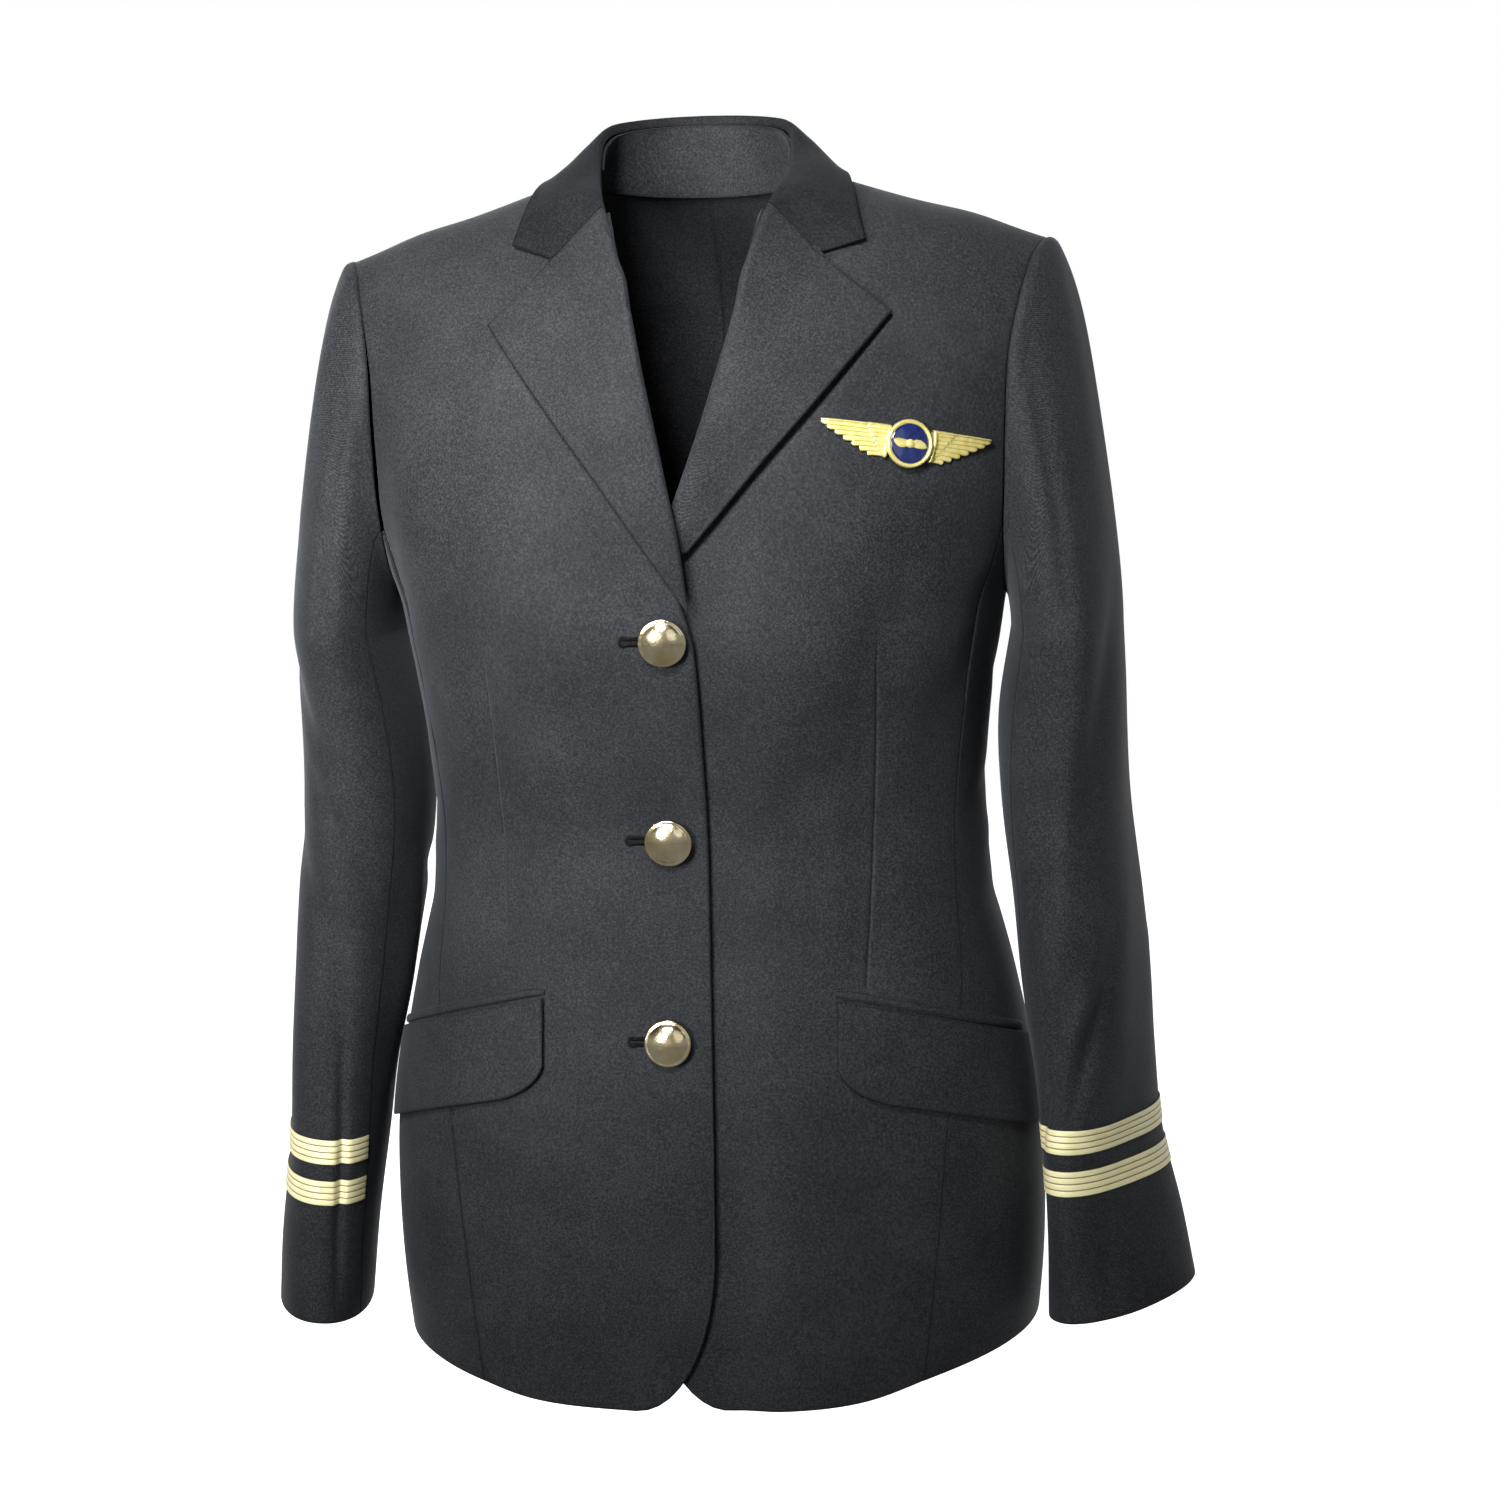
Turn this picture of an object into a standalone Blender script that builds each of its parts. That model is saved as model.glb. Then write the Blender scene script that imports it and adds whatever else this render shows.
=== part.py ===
"""Pilot uniform jacket, worn form, kept hollow: cloth panels as thin curved shells with brass buttons, braid and badge.

Frame: +Z up, the front faces -Y, +X is the wearer's left. The origin is on the body axis at the height of the side
neck, where the wearer's shoulders hold the jacket up. Sizes are in millimetres and become metres in add_mesh.
"""

import bpy
import numpy as np

MM = 0.001
WALL = 2.0  # thickness of a cloth layer
SEAM_GAP = 0.3  # between neighbouring pieces
HALF_GAP = SEAM_GAP / 2
LAYER = WALL + SEAM_GAP  # rise of one cloth layer over the one below

RIGHT, LEFT = -1, 1  # wearer's right is -X, wearer's left is +X

# ---------------------------------------------------------------- body form
SQUARENESS = 2.4  # exponent of the level sections, 2 is an ellipse
SHOULDER_ROUND = 150.0  # height over which the chest rounds into the shoulder line
NECK_Z = 19.6  # height of the shoulder line on the axis, were the neck closed
SEAM_DROP = 2e-4  # the shoulder seam stays this far under the crest, which parts front from back
NECK_SOFT = 20.0  # how softly the shoulder line turns over on the axis
SHOULDER_SLOPE = {RIGHT: 0.345, LEFT: 0.315}  # the left shoulder sits a little higher
BUST = {"x": 82.0, "z": -238.0, "wide": 52.0, "tall": 58.0, "rise": 7.0}

# level sections of the cloth's outer face: height, half width, depth to the front, depth to the back
SECTIONS = (
    (-680, 174, 112, 115),
    (-640, 178, 112, 115),
    (-600, 181.5, 111, 115),
    (-560, 182.5, 110, 115),
    (-515, 181, 109, 114),
    (-470, 175, 107, 110),
    (-430, 167, 103, 100),
    (-388, 157, 99, 89),
    (-345, 153, 98, 85),
    (-288, 156, 108, 90),
    (-240, 163, 117, 98),
    (-222, 166, 118, 101),
    (-200, 173, 118, 104),
    (-170, 181, 117, 107),
    (-135, 188, 114, 109),
    (-100, 197, 110, 109),
    (-70, 206, 106, 108),
    (-40, 214, 102, 106),
    (0, 224, 98, 100),
    (40, 228, 96, 96),
)

# ---------------------------------------------------------------- outlines
CHEST_Z = -240.0  # below this the rows of a panel are level
HEM_FRONT_Z = -655.0
# lower edge of the body: angle from the front (degrees), height on the right, height on the left
HEM = (
    (0, -655, -655),
    (25, -653, -650),
    (42, -647, -640),
    (65, -640, -632),
    (90, -637, -629),
    (120, -638, -632),
    (180, -641, -641),
)
ROLL_SETBACK = 4.5  # the front ends this far from the roll line, where the facing turns over it
CORNER = {"wide": 45.0, "tall": 90.0}  # rounding of the front hem corners
NECK_HALF_WIDTH = 75.0
NECK_BACK_Z = -8.0

# front edge below the break, roll line above it, then the neckline: height, x on the right front, x on the left front
FRONT_EDGE = (
    (-570, 12, -28),
    (-480, 13.5, -28.5),
    (-370, 13.5, -29),
    (-300, 13, -29),
    (-240, 11.5, -28),
    (-211, 9, -17),
    (-177, 5, -4),
    (-151, 0, 6.5),
    (-125, -5, 16),
    (-92, -12.5, 26),
    (-62, -20, 35),
    (-37, -28, 41),
    (-17, -47, 53),
    (-4, -66, 68),
    (0.8, -75, 75),
)

# side seams of the body: height, angle from the front, angle from the back (degrees)
SIDE_SEAMS = (
    (-660, 39, 58),
    (-565, 42, 59),
    (-500, 46, 60),
    (-440, 55, 62),
    (-408, 59.5, 63.5),
    (-345, 64, 65),
    (-288, 66.4, 67),
    (-240, 67, 69),
    (-181, 68, 72),
)

# armhole loop: angle round it from the shoulder, body angle from the front, body angle from the back (degrees)
ARMHOLE = (
    (0, 59, 59),
    (30, 55.7, 57.5),
    (60, 56, 60),
    (90, 62.3, 66),
    (120, 68, 72),
    (150, 78, 80),
    (180, 90, 90),
)
ARMHOLE_MID_Z, ARMHOLE_DOWN = -140.0, 82.0
ARMHOLE_SEAM = 120.0  # loop angle where the side seams meet the armhole

# rows of the upper panels: row, loop angle of the armhole end (below 120: the side seam), share of the shoulder slope
UPPER_ROWS = (
    (0, 0, 0.0),
    (1, 0, 0.0),
    (2, 120, 0.1),
    (3, 105, 0.25),
    (4, 90, 0.4),
    (5, 75, 0.55),
    (6, 60, 0.7),
    (7, 45, 0.82),
    (8, 30, 0.92),
    (9, 15, 0.98),
    (10, 0, 1.0),
)

# ---------------------------------------------------------------- collar and lapels
LAPEL_TOP_Z = -11.0
LAPEL_END_Z = {RIGHT: -222.0, LEFT: -193.0}
# share of the way down, outer edge of the right lapel x and z, outer edge of the left lapel x and z
LAPEL_EDGE = (
    (0.0, -96, -70, 111, -67),
    (0.2, -75, -98, 90, -93),
    (0.4, -54, -126, 69, -118),
    (0.6, -33, -155, 47, -143),
    (0.8, -12, -186, 25.5, -169),
    (1.0, 8, -216, 8, -189),
)
LAPEL_LIFT = 5.0  # outer face of the lapel over the outer face of the front
LAPEL_CURL = 1.7  # drop of the rolled edge
# stations from the front end (0) to the centre back (8): neck seam x, z; roll line x, y, z; outer edge x and its angle
# over the shoulder (0 at the chest, 90 on the shoulder line, above 90 on the back)
COLLAR = (
    (0, 50, -16, 44, -62, -10.5, 92.5, 54.5),
    (1, 60, -9, 48, -44, -2.5, 89, 63),
    (2, 69, -3, 51.5, -21, 6, 85, 76),
    (3, 75, 1, 53.5, -3, 15, 81, 90),
    (4, 70, -0.3, 53, 13, 26, 75, 103),
    (5, 60, -3, 48.5, 28, 31.5, 64.5, 114),
    (6, 43, -5.5, 37.5, 43, 34, 48, 123),
    (7, 22, -7.5, 20, 53, 35.5, 25.5, 129),
    (8, 0, -8, 0, 56.5, 36, 0, 131),
)
COLLAR_SHIFT = 5.0  # the neck opening sits this far to the wearer's left at the front
NOTCH = {"x": 69.0, "z": -37.5, "share": 0.4}  # inner end of the notch, where collar and lapel part
FALL_LIFT = 4.2

# ---------------------------------------------------------------- sleeves
# height, outer x, inner x, centre y, half depth, turn (degrees, front end inwards), rise of the outer side per mm
SLEEVE_RIGHT = (
    (-240, 226.5, 168.5, 0, 74, 0, 0),
    (-288, 226, 161, 0, 66, 0, 0),
    (-339, 228, 159, -2, 60, 0, 0.02),
    (-385, 232.5, 164.5, -6, 58, 0, 0.04),
    (-432, 236, 173, -11, 57, 2, 0.06),
    (-478, 240, 182, -15, 55, 4, 0.08),
    (-525, 243, 187.5, -20, 54, 6, 0.09),
    (-574, 249, 194, -25, 52, 8, 0.1),
    (-620, 252.5, 198, -29, 52, 10, 0.1),
)
SLEEVE_LEFT = (
    (-240, 229, 168.5, 0, 74, 0, 0),
    (-288, 231, 161, 0, 66, 0, 0),
    (-339, 233, 163, -2, 60, 4, 0.01),
    (-385, 238, 169, -7, 58, 8, 0.02),
    (-432, 242, 174, -12, 56, 14, 0.02),
    (-478, 244, 181, -17, 53, 20, 0.0),
    (-525, 248, 186, -22, 51, 30, -0.02),
    (-572, 259, 188, -26, 49, 38, 0.06),
    (-611, 266, 188, -30, 48, 42, 0.16),
)
SLEEVES = {RIGHT: SLEEVE_RIGHT, LEFT: SLEEVE_LEFT}
SLEEVE_TOP_Z = -240.0
CAP_OUT = 46.0  # how far the sleeve head pushes out before it turns down
CAP_CLEAR = 0.8
SLEEVE_SEAMS = (120.0, 132.0, 142.0)  # section angle of the sleeve seams at the armhole, upper arm and cuff

# ---------------------------------------------------------------- trims
BUTTONS = ((-4.5, -233.0, 0.0), (-7.5, -342.0, 0.8), (-10.0, -450.0, 0.0))  # x, height and rise off the right front
# radius and height over the cloth, from the shank out to the rim and in over the dome
BUTTON_PROFILE = ((0, 0.7), (3, 0.7), (3, 3.0), (11.4, 3.2), (12.5, 3.9), (12.3, 4.7), (11, 5.6), (8, 7.1), (4, 8.0), (0, 8.3))
FLAP = {"x": 78.0, "side_deg": 83.0, "front_z": -427.0, "side_z": -464.0, "tall": 53.0, "corner": 0.2}
FLAP_LIFT = 1.0
WELT_TALL = 6.0
BRAID = {"wide": 14.0, "gap": 9.0, "off_cuff": 67.0, "thick": 1.0, "lift": 0.5}
BADGE = {"x": 121.5, "z": -135.0, "slope": -0.19, "lift": 0.9, "thick": 1.6}
# distance out from the badge centre, upper outline, lower outline of a wing
WING = (
    (0, 9.0, -9.0),
    (9, 9.0, -9.0),
    (12.5, 7.4, -8.6),
    (17, 7.6, -7.4),
    (22, 7.7, -5.9),
    (27, 7.6, -4.3),
    (32, 7.4, -2.6),
    (37, 7.1, -0.4),
    (43, 6.6, 2.6),
    (47.5, 5.8, 4.4),
)
DISC = {"radius": 12.4, "low": 2.9, "high": 4.9, "well": 10.2, "well_deep": 0.7, "enamel": 9.9}

MATERIALS = {
    "cloth": ((0.035, 0.038, 0.045), 0.85, 0.0),
    "brass": ((0.80, 0.62, 0.25), 0.2, 1.0),
    "braid": ((0.78, 0.66, 0.32), 0.5, 0.3),
    "enamel": ((0.02, 0.03, 0.16), 0.15, 0.0),
}


def smooth(table, column, at):
    """A column of a table read at any value of its first column, with soft cubic turns between rows."""
    rows = np.array([(row[0], row[column]) for row in table], float)
    rows = rows[np.argsort(rows[:, 0])]
    keys, values = rows[:, 0], rows[:, 1]
    slopes = np.gradient(values, keys)
    at = np.clip(np.asarray(at, float), keys[0], keys[-1])
    i = np.clip(np.searchsorted(keys, at, side="right") - 1, 0, len(keys) - 2)
    step = keys[i + 1] - keys[i]
    s = (at - keys[i]) / step
    start = (1 + 2 * s) * (1 - s) ** 2 * values[i] + s * (1 - s) ** 2 * step * slopes[i]
    end = s * s * (3 - 2 * s) * values[i + 1] + s * s * (s - 1) * step * slopes[i + 1]
    return start + end


def mix(a, b, t):
    return a + (b - a) * t


def power(value, exponent):
    return np.sign(value) * np.abs(value) ** exponent


def shoulder_z(x):
    slope = np.where(np.asarray(x) < 0, SHOULDER_SLOPE[RIGHT], SHOULDER_SLOPE[LEFT])
    return NECK_Z - slope * (np.sqrt(np.square(x) + NECK_SOFT**2) - NECK_SOFT)


def form(angle, z, lift=0.0):
    """A point of the body form. angle is in radians: 0 at the front, +90 degrees at the wearer's left, 180 at the back."""
    sine, cosine = np.sin(angle), np.cos(angle)
    x = (smooth(SECTIONS, 1, z) + lift) * power(sine, 2 / SQUARENESS)
    depth = np.where(cosine > 0, smooth(SECTIONS, 2, z), smooth(SECTIONS, 3, z)) + lift
    hill = ((np.abs(x) - BUST["x"]) / BUST["wide"]) ** 2 + ((z - BUST["z"]) / BUST["tall"]) ** 2
    depth = depth + np.where(cosine > 0, BUST["rise"] * np.exp(-hill), 0.0)
    crest = shoulder_z(x) - SEAM_DROP
    rise = np.clip((np.minimum(z, crest) - shoulder_z(x) + SHOULDER_ROUND) / SHOULDER_ROUND, 0, 1)
    y = -depth * power(cosine, 2 / SQUARENESS) * np.sqrt(1 - rise**2)
    return np.stack(np.broadcast_arrays(x, y, z), -1)


def angle_at(x, z):
    """The form angle, on the front, of a given x."""
    share = np.clip(np.abs(x) / smooth(SECTIONS, 1, z), 0, 1)
    return np.sign(x) * np.arcsin(share ** (SQUARENESS / 2))


def on_front(x, z, lift=0.0):
    return form(angle_at(x, z), z, lift)


def shoulder_end_z(side):
    """Height where the shoulder seam meets the armhole."""
    z = -38.0
    for _ in range(6):
        z = float(shoulder_z(side * smooth(SECTIONS, 1, z) * np.sin(np.radians(ARMHOLE[0][1])) ** (2 / SQUARENESS)))
    return z


def armhole_z(side, loop):
    """Height of the armhole loop; loop is its angle in degrees, 0 at the shoulder and 180 under the arm."""
    cosine = np.cos(np.radians(loop))
    up = shoulder_end_z(side) - ARMHOLE_MID_Z
    return ARMHOLE_MID_Z + np.where(cosine > 0, up, ARMHOLE_DOWN) * cosine


def armhole_angle(side, loop):
    """Body angle of the armhole loop: positive loop angles run down the front, negative ones down the back."""
    ahead = smooth(ARMHOLE, 1, np.abs(loop))
    behind = 180 - smooth(ARMHOLE, 2, np.abs(loop))
    return side * np.radians(np.where(np.asarray(loop) >= 0, ahead, behind))


def armhole(side, loop, lift=0.0):
    z = armhole_z(side, loop)
    return form(armhole_angle(side, loop), z, lift)


# ---------------------------------------------------------------- body panels
def hem_z(side, degrees):
    return smooth(HEM, 1 if side == RIGHT else 2, degrees)


def seam_hem_z(side, back):
    column = 2 if back else 1
    turn = float(SIDE_SEAMS[0][column])
    return float(hem_z(side, 180 - turn if back else turn))


def panel_end(side, v, back):
    """Height and body angle of the outer end of a panel row: v is 0..1 from hem to chest, 1..2 from chest to shoulder."""
    column, sign = (2, -1) if back else (1, 1)
    row = np.clip((v - 1) * 10, 0, 10)
    loop = np.where(row < 2, ARMHOLE_SEAM, ARMHOLE_SEAM - (row - 2) * 15)
    seam_top = armhole_z(side, ARMHOLE_SEAM)
    below = np.where(v < 1, mix(seam_hem_z(side, back), CHEST_Z, v), mix(CHEST_Z, seam_top, np.clip(row / 2, 0, 1)))
    z = np.where(row < 2, below, armhole_z(side, loop))
    seam = smooth(SIDE_SEAMS, column, z)
    angle = np.where(row < 2, seam, smooth(ARMHOLE, column, loop))
    return z, np.radians(180 - angle if back else angle)


def front_in_x(side, z):
    return smooth(FRONT_EDGE, 1 if side == RIGHT else 2, z)


def slope_share(v):
    return smooth(UPPER_ROWS, 2, np.clip((v - 1) * 10, 0, 10))


def under_lift(side, x, z):
    """The left front lies one facing and one layer deeper where the right front laps over it."""
    if side == RIGHT:
        return np.zeros(np.shape(x))
    fade = np.clip((48 - x) / 26, 0, 1)
    fade = fade * fade * (3 - 2 * fade)
    high = np.clip((-120 - z) / 45, 0, 1)
    return -6.2 * fade * high


def roll_lift(side, x, z):
    """The front stands a little off the body beside the roll line."""
    above = np.clip((z + 225) / 60, 0, 1) * np.clip((15 - z) / 40, 0, 1)
    near = np.exp(-(((x - front_in_x(side, z)) / 26.0) ** 2))
    lapped = 0.0 if side == RIGHT else 0.8 * np.clip((-120 - z) / 45, 0, 1)
    return 3.0 * above * near * (1 - lapped)


def end_x(side, angle, z):
    return side * smooth(SECTIONS, 1, z) * np.abs(np.sin(angle)) ** (2 / SQUARENESS)


def ridge(side, x):
    """Shoulder line of a front, level from the neck inwards."""
    return shoulder_z(side * np.maximum(np.abs(x), NECK_HALF_WIDTH))


def front_panel(side):
    """u runs from the front edge to the side seam and armhole, v from the hem up to the shoulder seam."""

    def point(u, v):
        end_z, end_angle = panel_end(side, v, False)
        out_x = end_x(side, end_angle, end_z)
        share = slope_share(v)
        upper_in = end_z + share * (ridge(side, NECK_HALF_WIDTH) - ridge(side, out_x))
        corner_top = HEM_FRONT_Z + CORNER["tall"]
        in_z = np.where(v < 1, mix(corner_top, CHEST_Z, v), upper_in)
        in_x = front_in_x(side, in_z) + side * ROLL_SETBACK * np.clip((in_z + 235) / 25, 0, 1) * np.clip(-in_z / 20, 0, 1)
        # rows near the hem follow the rounded corner
        turn = np.clip(u / 0.3, 0, 1) * np.pi / 2
        beyond = np.clip((u - 0.3) / 0.7, 0, 1)
        hem_x = in_x + side * CORNER["wide"] * (1 - np.cos(turn))
        low_z = hem_z(side, np.degrees(beyond * end_angle))
        low_z = low_z + (seam_hem_z(side, False) - hem_z(side, np.degrees(end_angle))) * beyond
        low_z = low_z + CORNER["tall"] * (1 - np.sin(turn))
        corner_angle = angle_at(in_x + side * CORNER["wide"], HEM_FRONT_Z)
        hem_angle = np.where(u < 0.3, angle_at(hem_x, low_z), mix(corner_angle, side * end_angle, beyond))
        level_angle = mix(angle_at(in_x, in_z), side * end_angle, u)
        angle = mix(level_angle, hem_angle, np.clip(1 - v, 0, 1) ** 1.5)
        z = np.where(v < 1, mix(low_z, CHEST_Z, v), in_z)
        for _ in range(6):
            x = smooth(SECTIONS, 1, z) * power(np.sin(angle), 2 / SQUARENESS)
            z = np.where(v < 1, z, end_z + share * (ridge(side, x) - ridge(side, out_x)))
            z = np.minimum(z, shoulder_z(x) - SEAM_DROP)
        lift = under_lift(side, x, z) + roll_lift(side, x, z)
        return form(angle, z, lift)

    return point


def back_panel(side):
    """u runs from the centre back seam to the side seam and armhole, v from the hem up to the neck and shoulder."""

    def top_z(x):
        share = np.clip(np.abs(x) / NECK_HALF_WIDTH, 0, 1)
        neck = mix(NECK_BACK_Z, float(shoulder_z(side * NECK_HALF_WIDTH)), share**2)
        return np.where(np.abs(x) < NECK_HALF_WIDTH, neck, shoulder_z(x))

    def point(u, v):
        end_z, end_angle = panel_end(side, v, True)
        out_x = end_x(side, end_angle, end_z)
        angle = mix(np.pi * side, end_angle * side, u)
        low_z = hem_z(side, np.abs(np.degrees(angle)))
        low_z = low_z + (seam_hem_z(side, True) - hem_z(side, np.abs(np.degrees(end_angle)))) * u
        z = np.where(v < 1, mix(low_z, CHEST_Z, v), end_z)
        for _ in range(6):
            x = smooth(SECTIONS, 1, z) * power(np.sin(angle), 2 / SQUARENESS)
            z = np.where(v < 1, z, end_z + slope_share(v) * (top_z(x) - top_z(out_x)))
            z = np.minimum(z, shoulder_z(x) - SEAM_DROP)
        return form(angle, z)

    return point


def side_panel(side):
    """u runs from the front side seam to the back one, v from the hem (0) over the chest (1) to the armhole (1.2)."""

    def point(u, v):
        loop = mix(ARMHOLE_SEAM, 360 - ARMHOLE_SEAM, u)
        signed = np.where(loop > 180, loop - 360, loop)
        top = np.clip((v - 1) / 0.2, 0, 1)
        ahead_hem, behind_hem = seam_hem_z(side, False), seam_hem_z(side, True)
        even = mix(SIDE_SEAMS[0][1], 180 - SIDE_SEAMS[0][2], u)
        low_z = hem_z(side, even)
        z = np.where(v < 1, mix(low_z, CHEST_Z, v), mix(CHEST_Z, armhole_z(side, signed), top))
        ahead_z = np.where(v < 1, mix(ahead_hem, CHEST_Z, v), z)
        behind_z = np.where(v < 1, mix(behind_hem, CHEST_Z, v), z)
        level = mix(smooth(SIDE_SEAMS, 1, ahead_z), 180 - smooth(SIDE_SEAMS, 2, behind_z), u)
        top_angle = np.degrees(armhole_angle(side, signed)) * side
        angle = mix(level, top_angle, top**2)
        return form(np.radians(angle) * side, z)

    return point


# ---------------------------------------------------------------- collar and lapels
def lapel(side):
    """u runs from the roll line to the outer edge, v from the gorge seam down to the break."""
    x_column, z_column = (1, 2) if side == RIGHT else (3, 4)

    def point(u, v):
        roll_z = mix(LAPEL_TOP_Z, LAPEL_END_Z[side], v)
        roll_x = lapel_roll_x(side, roll_z)
        edge_x, edge_z = smooth(LAPEL_EDGE, x_column, v), smooth(LAPEL_EDGE, z_column, v)
        # the top row bends at the notch, where the collar parts from the lapel
        bend = np.clip(1 - v / 0.2, 0, 1) * np.minimum(u / NOTCH["share"], (1 - u) / (1 - NOTCH["share"]))
        notch_x = side * NOTCH["x"] + COLLAR_SHIFT
        x = mix(roll_x, edge_x, u) + bend * (notch_x - mix(roll_x, edge_x, NOTCH["share"]))
        notch_z = NOTCH["z"] - mix(roll_z, edge_z, NOTCH["share"])
        z = mix(roll_z, edge_z, u) + bend * notch_z - 2.8 * np.clip(1 - v / 0.2, 0, 1)
        curl = LAPEL_CURL * np.clip(1 - u / 0.07, 0, 1) ** 2
        lift = under_lift(side, x, z) + roll_lift(side, x, z) + LAPEL_LIFT - curl
        return on_front(x, z, lift)

    return point


def lapel_roll_x(side, z):
    """The roll line, carried up past the neckline to the gorge seam."""
    seam = front_in_x(side, z)
    gorge = side * COLLAR[0][3] + COLLAR_SHIFT
    high = np.clip((z + 37) / 26, 0, 1)
    return mix(np.where(z > -37, front_in_x(side, -37.0), seam), gorge, high)


def over_shoulder(side, x, degrees, lift):
    """A point on the cloth over the shoulder: 0 degrees on the chest, 90 on the shoulder line, 180 on the back."""

    def at(x, degrees):
        turn = np.radians(degrees)
        z = shoulder_z(x) - SHOULDER_ROUND * (1 - np.sin(turn))
        half = smooth(SECTIONS, 1, z)
        across = (1 - np.clip(np.abs(x) / half, 0, 1) ** SQUARENESS) ** (1 / SQUARENESS)
        depth = np.where(np.cos(turn) > 0, smooth(SECTIONS, 2, z), smooth(SECTIONS, 3, z))
        return np.stack(np.broadcast_arrays(x, -depth * across * np.cos(turn), z), -1)

    outward = np.cross(at(x + 0.1, degrees) - at(x - 0.1, degrees), at(x, degrees + 0.5) - at(x, degrees - 0.5))
    outward /= np.linalg.norm(outward, axis=-1, keepdims=True)
    return at(x, degrees) + outward * lift


def collar_station(u):
    """Side, station number and the sideways shift along the collar; u is 0..16 from the right end to the left end."""
    side = np.where(u < 8, RIGHT, LEFT)
    station = np.where(u < 8, u, 16 - u)
    shift = COLLAR_SHIFT * np.clip(1 - station / 5, 0, 1)
    return side, station, shift


def roll_point(u):
    side, station, shift = collar_station(u)
    x = side * smooth(COLLAR, 3, station) + shift
    return np.stack([x, smooth(COLLAR, 4, station), smooth(COLLAR, 5, station)], -1)


def outer_point(u):
    side, station, shift = collar_station(u)
    x = side * smooth(COLLAR, 6, station) + shift
    return over_shoulder(side, x, smooth(COLLAR, 7, station), FALL_LIFT)


def seam_point(u):
    side, station, shift = collar_station(u)
    x = side * smooth(COLLAR, 1, station) + shift
    z = smooth(COLLAR, 2, station) + 1.6
    crest = shoulder_z(x)
    rise = np.clip((np.minimum(z, crest) - crest + SHOULDER_ROUND) / SHOULDER_ROUND, 0, 1)
    half = smooth(SECTIONS, 1, z)
    across = (1 - (np.abs(x) / half) ** SQUARENESS) ** (1 / SQUARENESS)
    depth = np.where(station < 3, -smooth(SECTIONS, 2, z), smooth(SECTIONS, 3, z))
    return np.stack([x, depth * across * np.sqrt(1 - rise**2), z], -1)


def inner_roll(u):
    """Where the fall ends inside the roll and meets the stand."""
    away = outer_point(u) - roll_point(u)
    away[..., 2] = 0
    away /= np.linalg.norm(away, axis=-1, keepdims=True)
    return roll_point(u) - away * 2.6 - np.array([0, 0, 5.0])


def collar_fall(u, v):
    """u runs round the neck, v from inside the roll, over it and down to the outer edge."""
    side, station, shift = collar_station(u)
    roll, outer, inside = roll_point(u), outer_point(u), inner_roll(u)
    notch_x = side * NOTCH["x"] + shift
    notch = on_front(notch_x, np.full(np.shape(u), NOTCH["z"]), FALL_LIFT)
    away = outer - roll
    away[..., 2] = 0
    away /= np.linalg.norm(away, axis=-1, keepdims=True)
    first = np.clip(1 - station, 0, 1)[..., None]
    low = mix(mix(roll, outer, 0.25) + away * 2.4 + np.array([0, 0, 1.6]), mix(roll, notch, 0.5), first)
    middle = mix(mix(roll, outer, 0.55) + away * 2.6 + np.array([0, 0, 1.2]), notch, first)
    high = mix(mix(roll, outer, 0.8) + away * 1.4, mix(notch, outer, 0.5), first)
    knots = (0.0, 0.15, 0.35, 0.6, 0.8, 1.0)
    steps = (inside, roll, low, middle, high, outer)
    result = np.zeros(np.shape(roll))
    for k in range(5):
        t = np.clip((v - knots[k]) / (knots[k + 1] - knots[k]), 0, 1)[..., None]
        here = ((v >= knots[k]) & ((v < knots[k + 1]) | (k == 4)))[..., None]
        result = np.where(here, mix(steps[k], steps[k + 1], t), result)
    return result


def collar_stand(u, v):
    """v runs from the neck seam up to the fall."""
    top = inner_roll(u) - np.array([0, 0, 1.2])
    return mix(seam_point(u), top, v[..., None])


# ---------------------------------------------------------------- sleeves
def sleeve_ring(side, z, degrees, lift=0.0):
    """A point of a sleeve section. degrees: 0 outwards, 90 to the front, 180 towards the body."""
    table = SLEEVES[side]
    outer, inner = smooth(table, 1, z), smooth(table, 2, z)
    deep, turn = smooth(table, 4, z), np.radians(smooth(table, 5, z))
    half = (outer - inner) / 2
    wide = np.sqrt((half**2 - (deep * np.sin(turn)) ** 2) / np.cos(turn) ** 2)
    angle = np.radians(degrees)
    out = (wide + lift) * power(np.cos(angle), 0.92)
    ahead = (deep + lift) * power(np.sin(angle), 0.92)
    x = (outer + inner) / 2 + out * np.cos(turn) - ahead * np.sin(turn)
    y = smooth(table, 3, z) - ahead * np.cos(turn) - out * np.sin(turn)
    tipped = z + smooth(table, 6, z) * (x - (outer + inner) / 2)
    return np.stack(np.broadcast_arrays(side * x, y, tipped), -1)


def ring_degrees(loop, v):
    """Section angle of a sleeve column: the seams drift towards the body from the armhole (v 0) to the cuff (v 2)."""
    seam = np.interp(v, (0, 1, 2), SLEEVE_SEAMS)
    over = loop * seam / ARMHOLE_SEAM
    under = 180 + (loop - 180) * (180 - seam) / (180 - ARMHOLE_SEAM)
    return np.where(np.abs(loop) <= ARMHOLE_SEAM, over, under)


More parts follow.
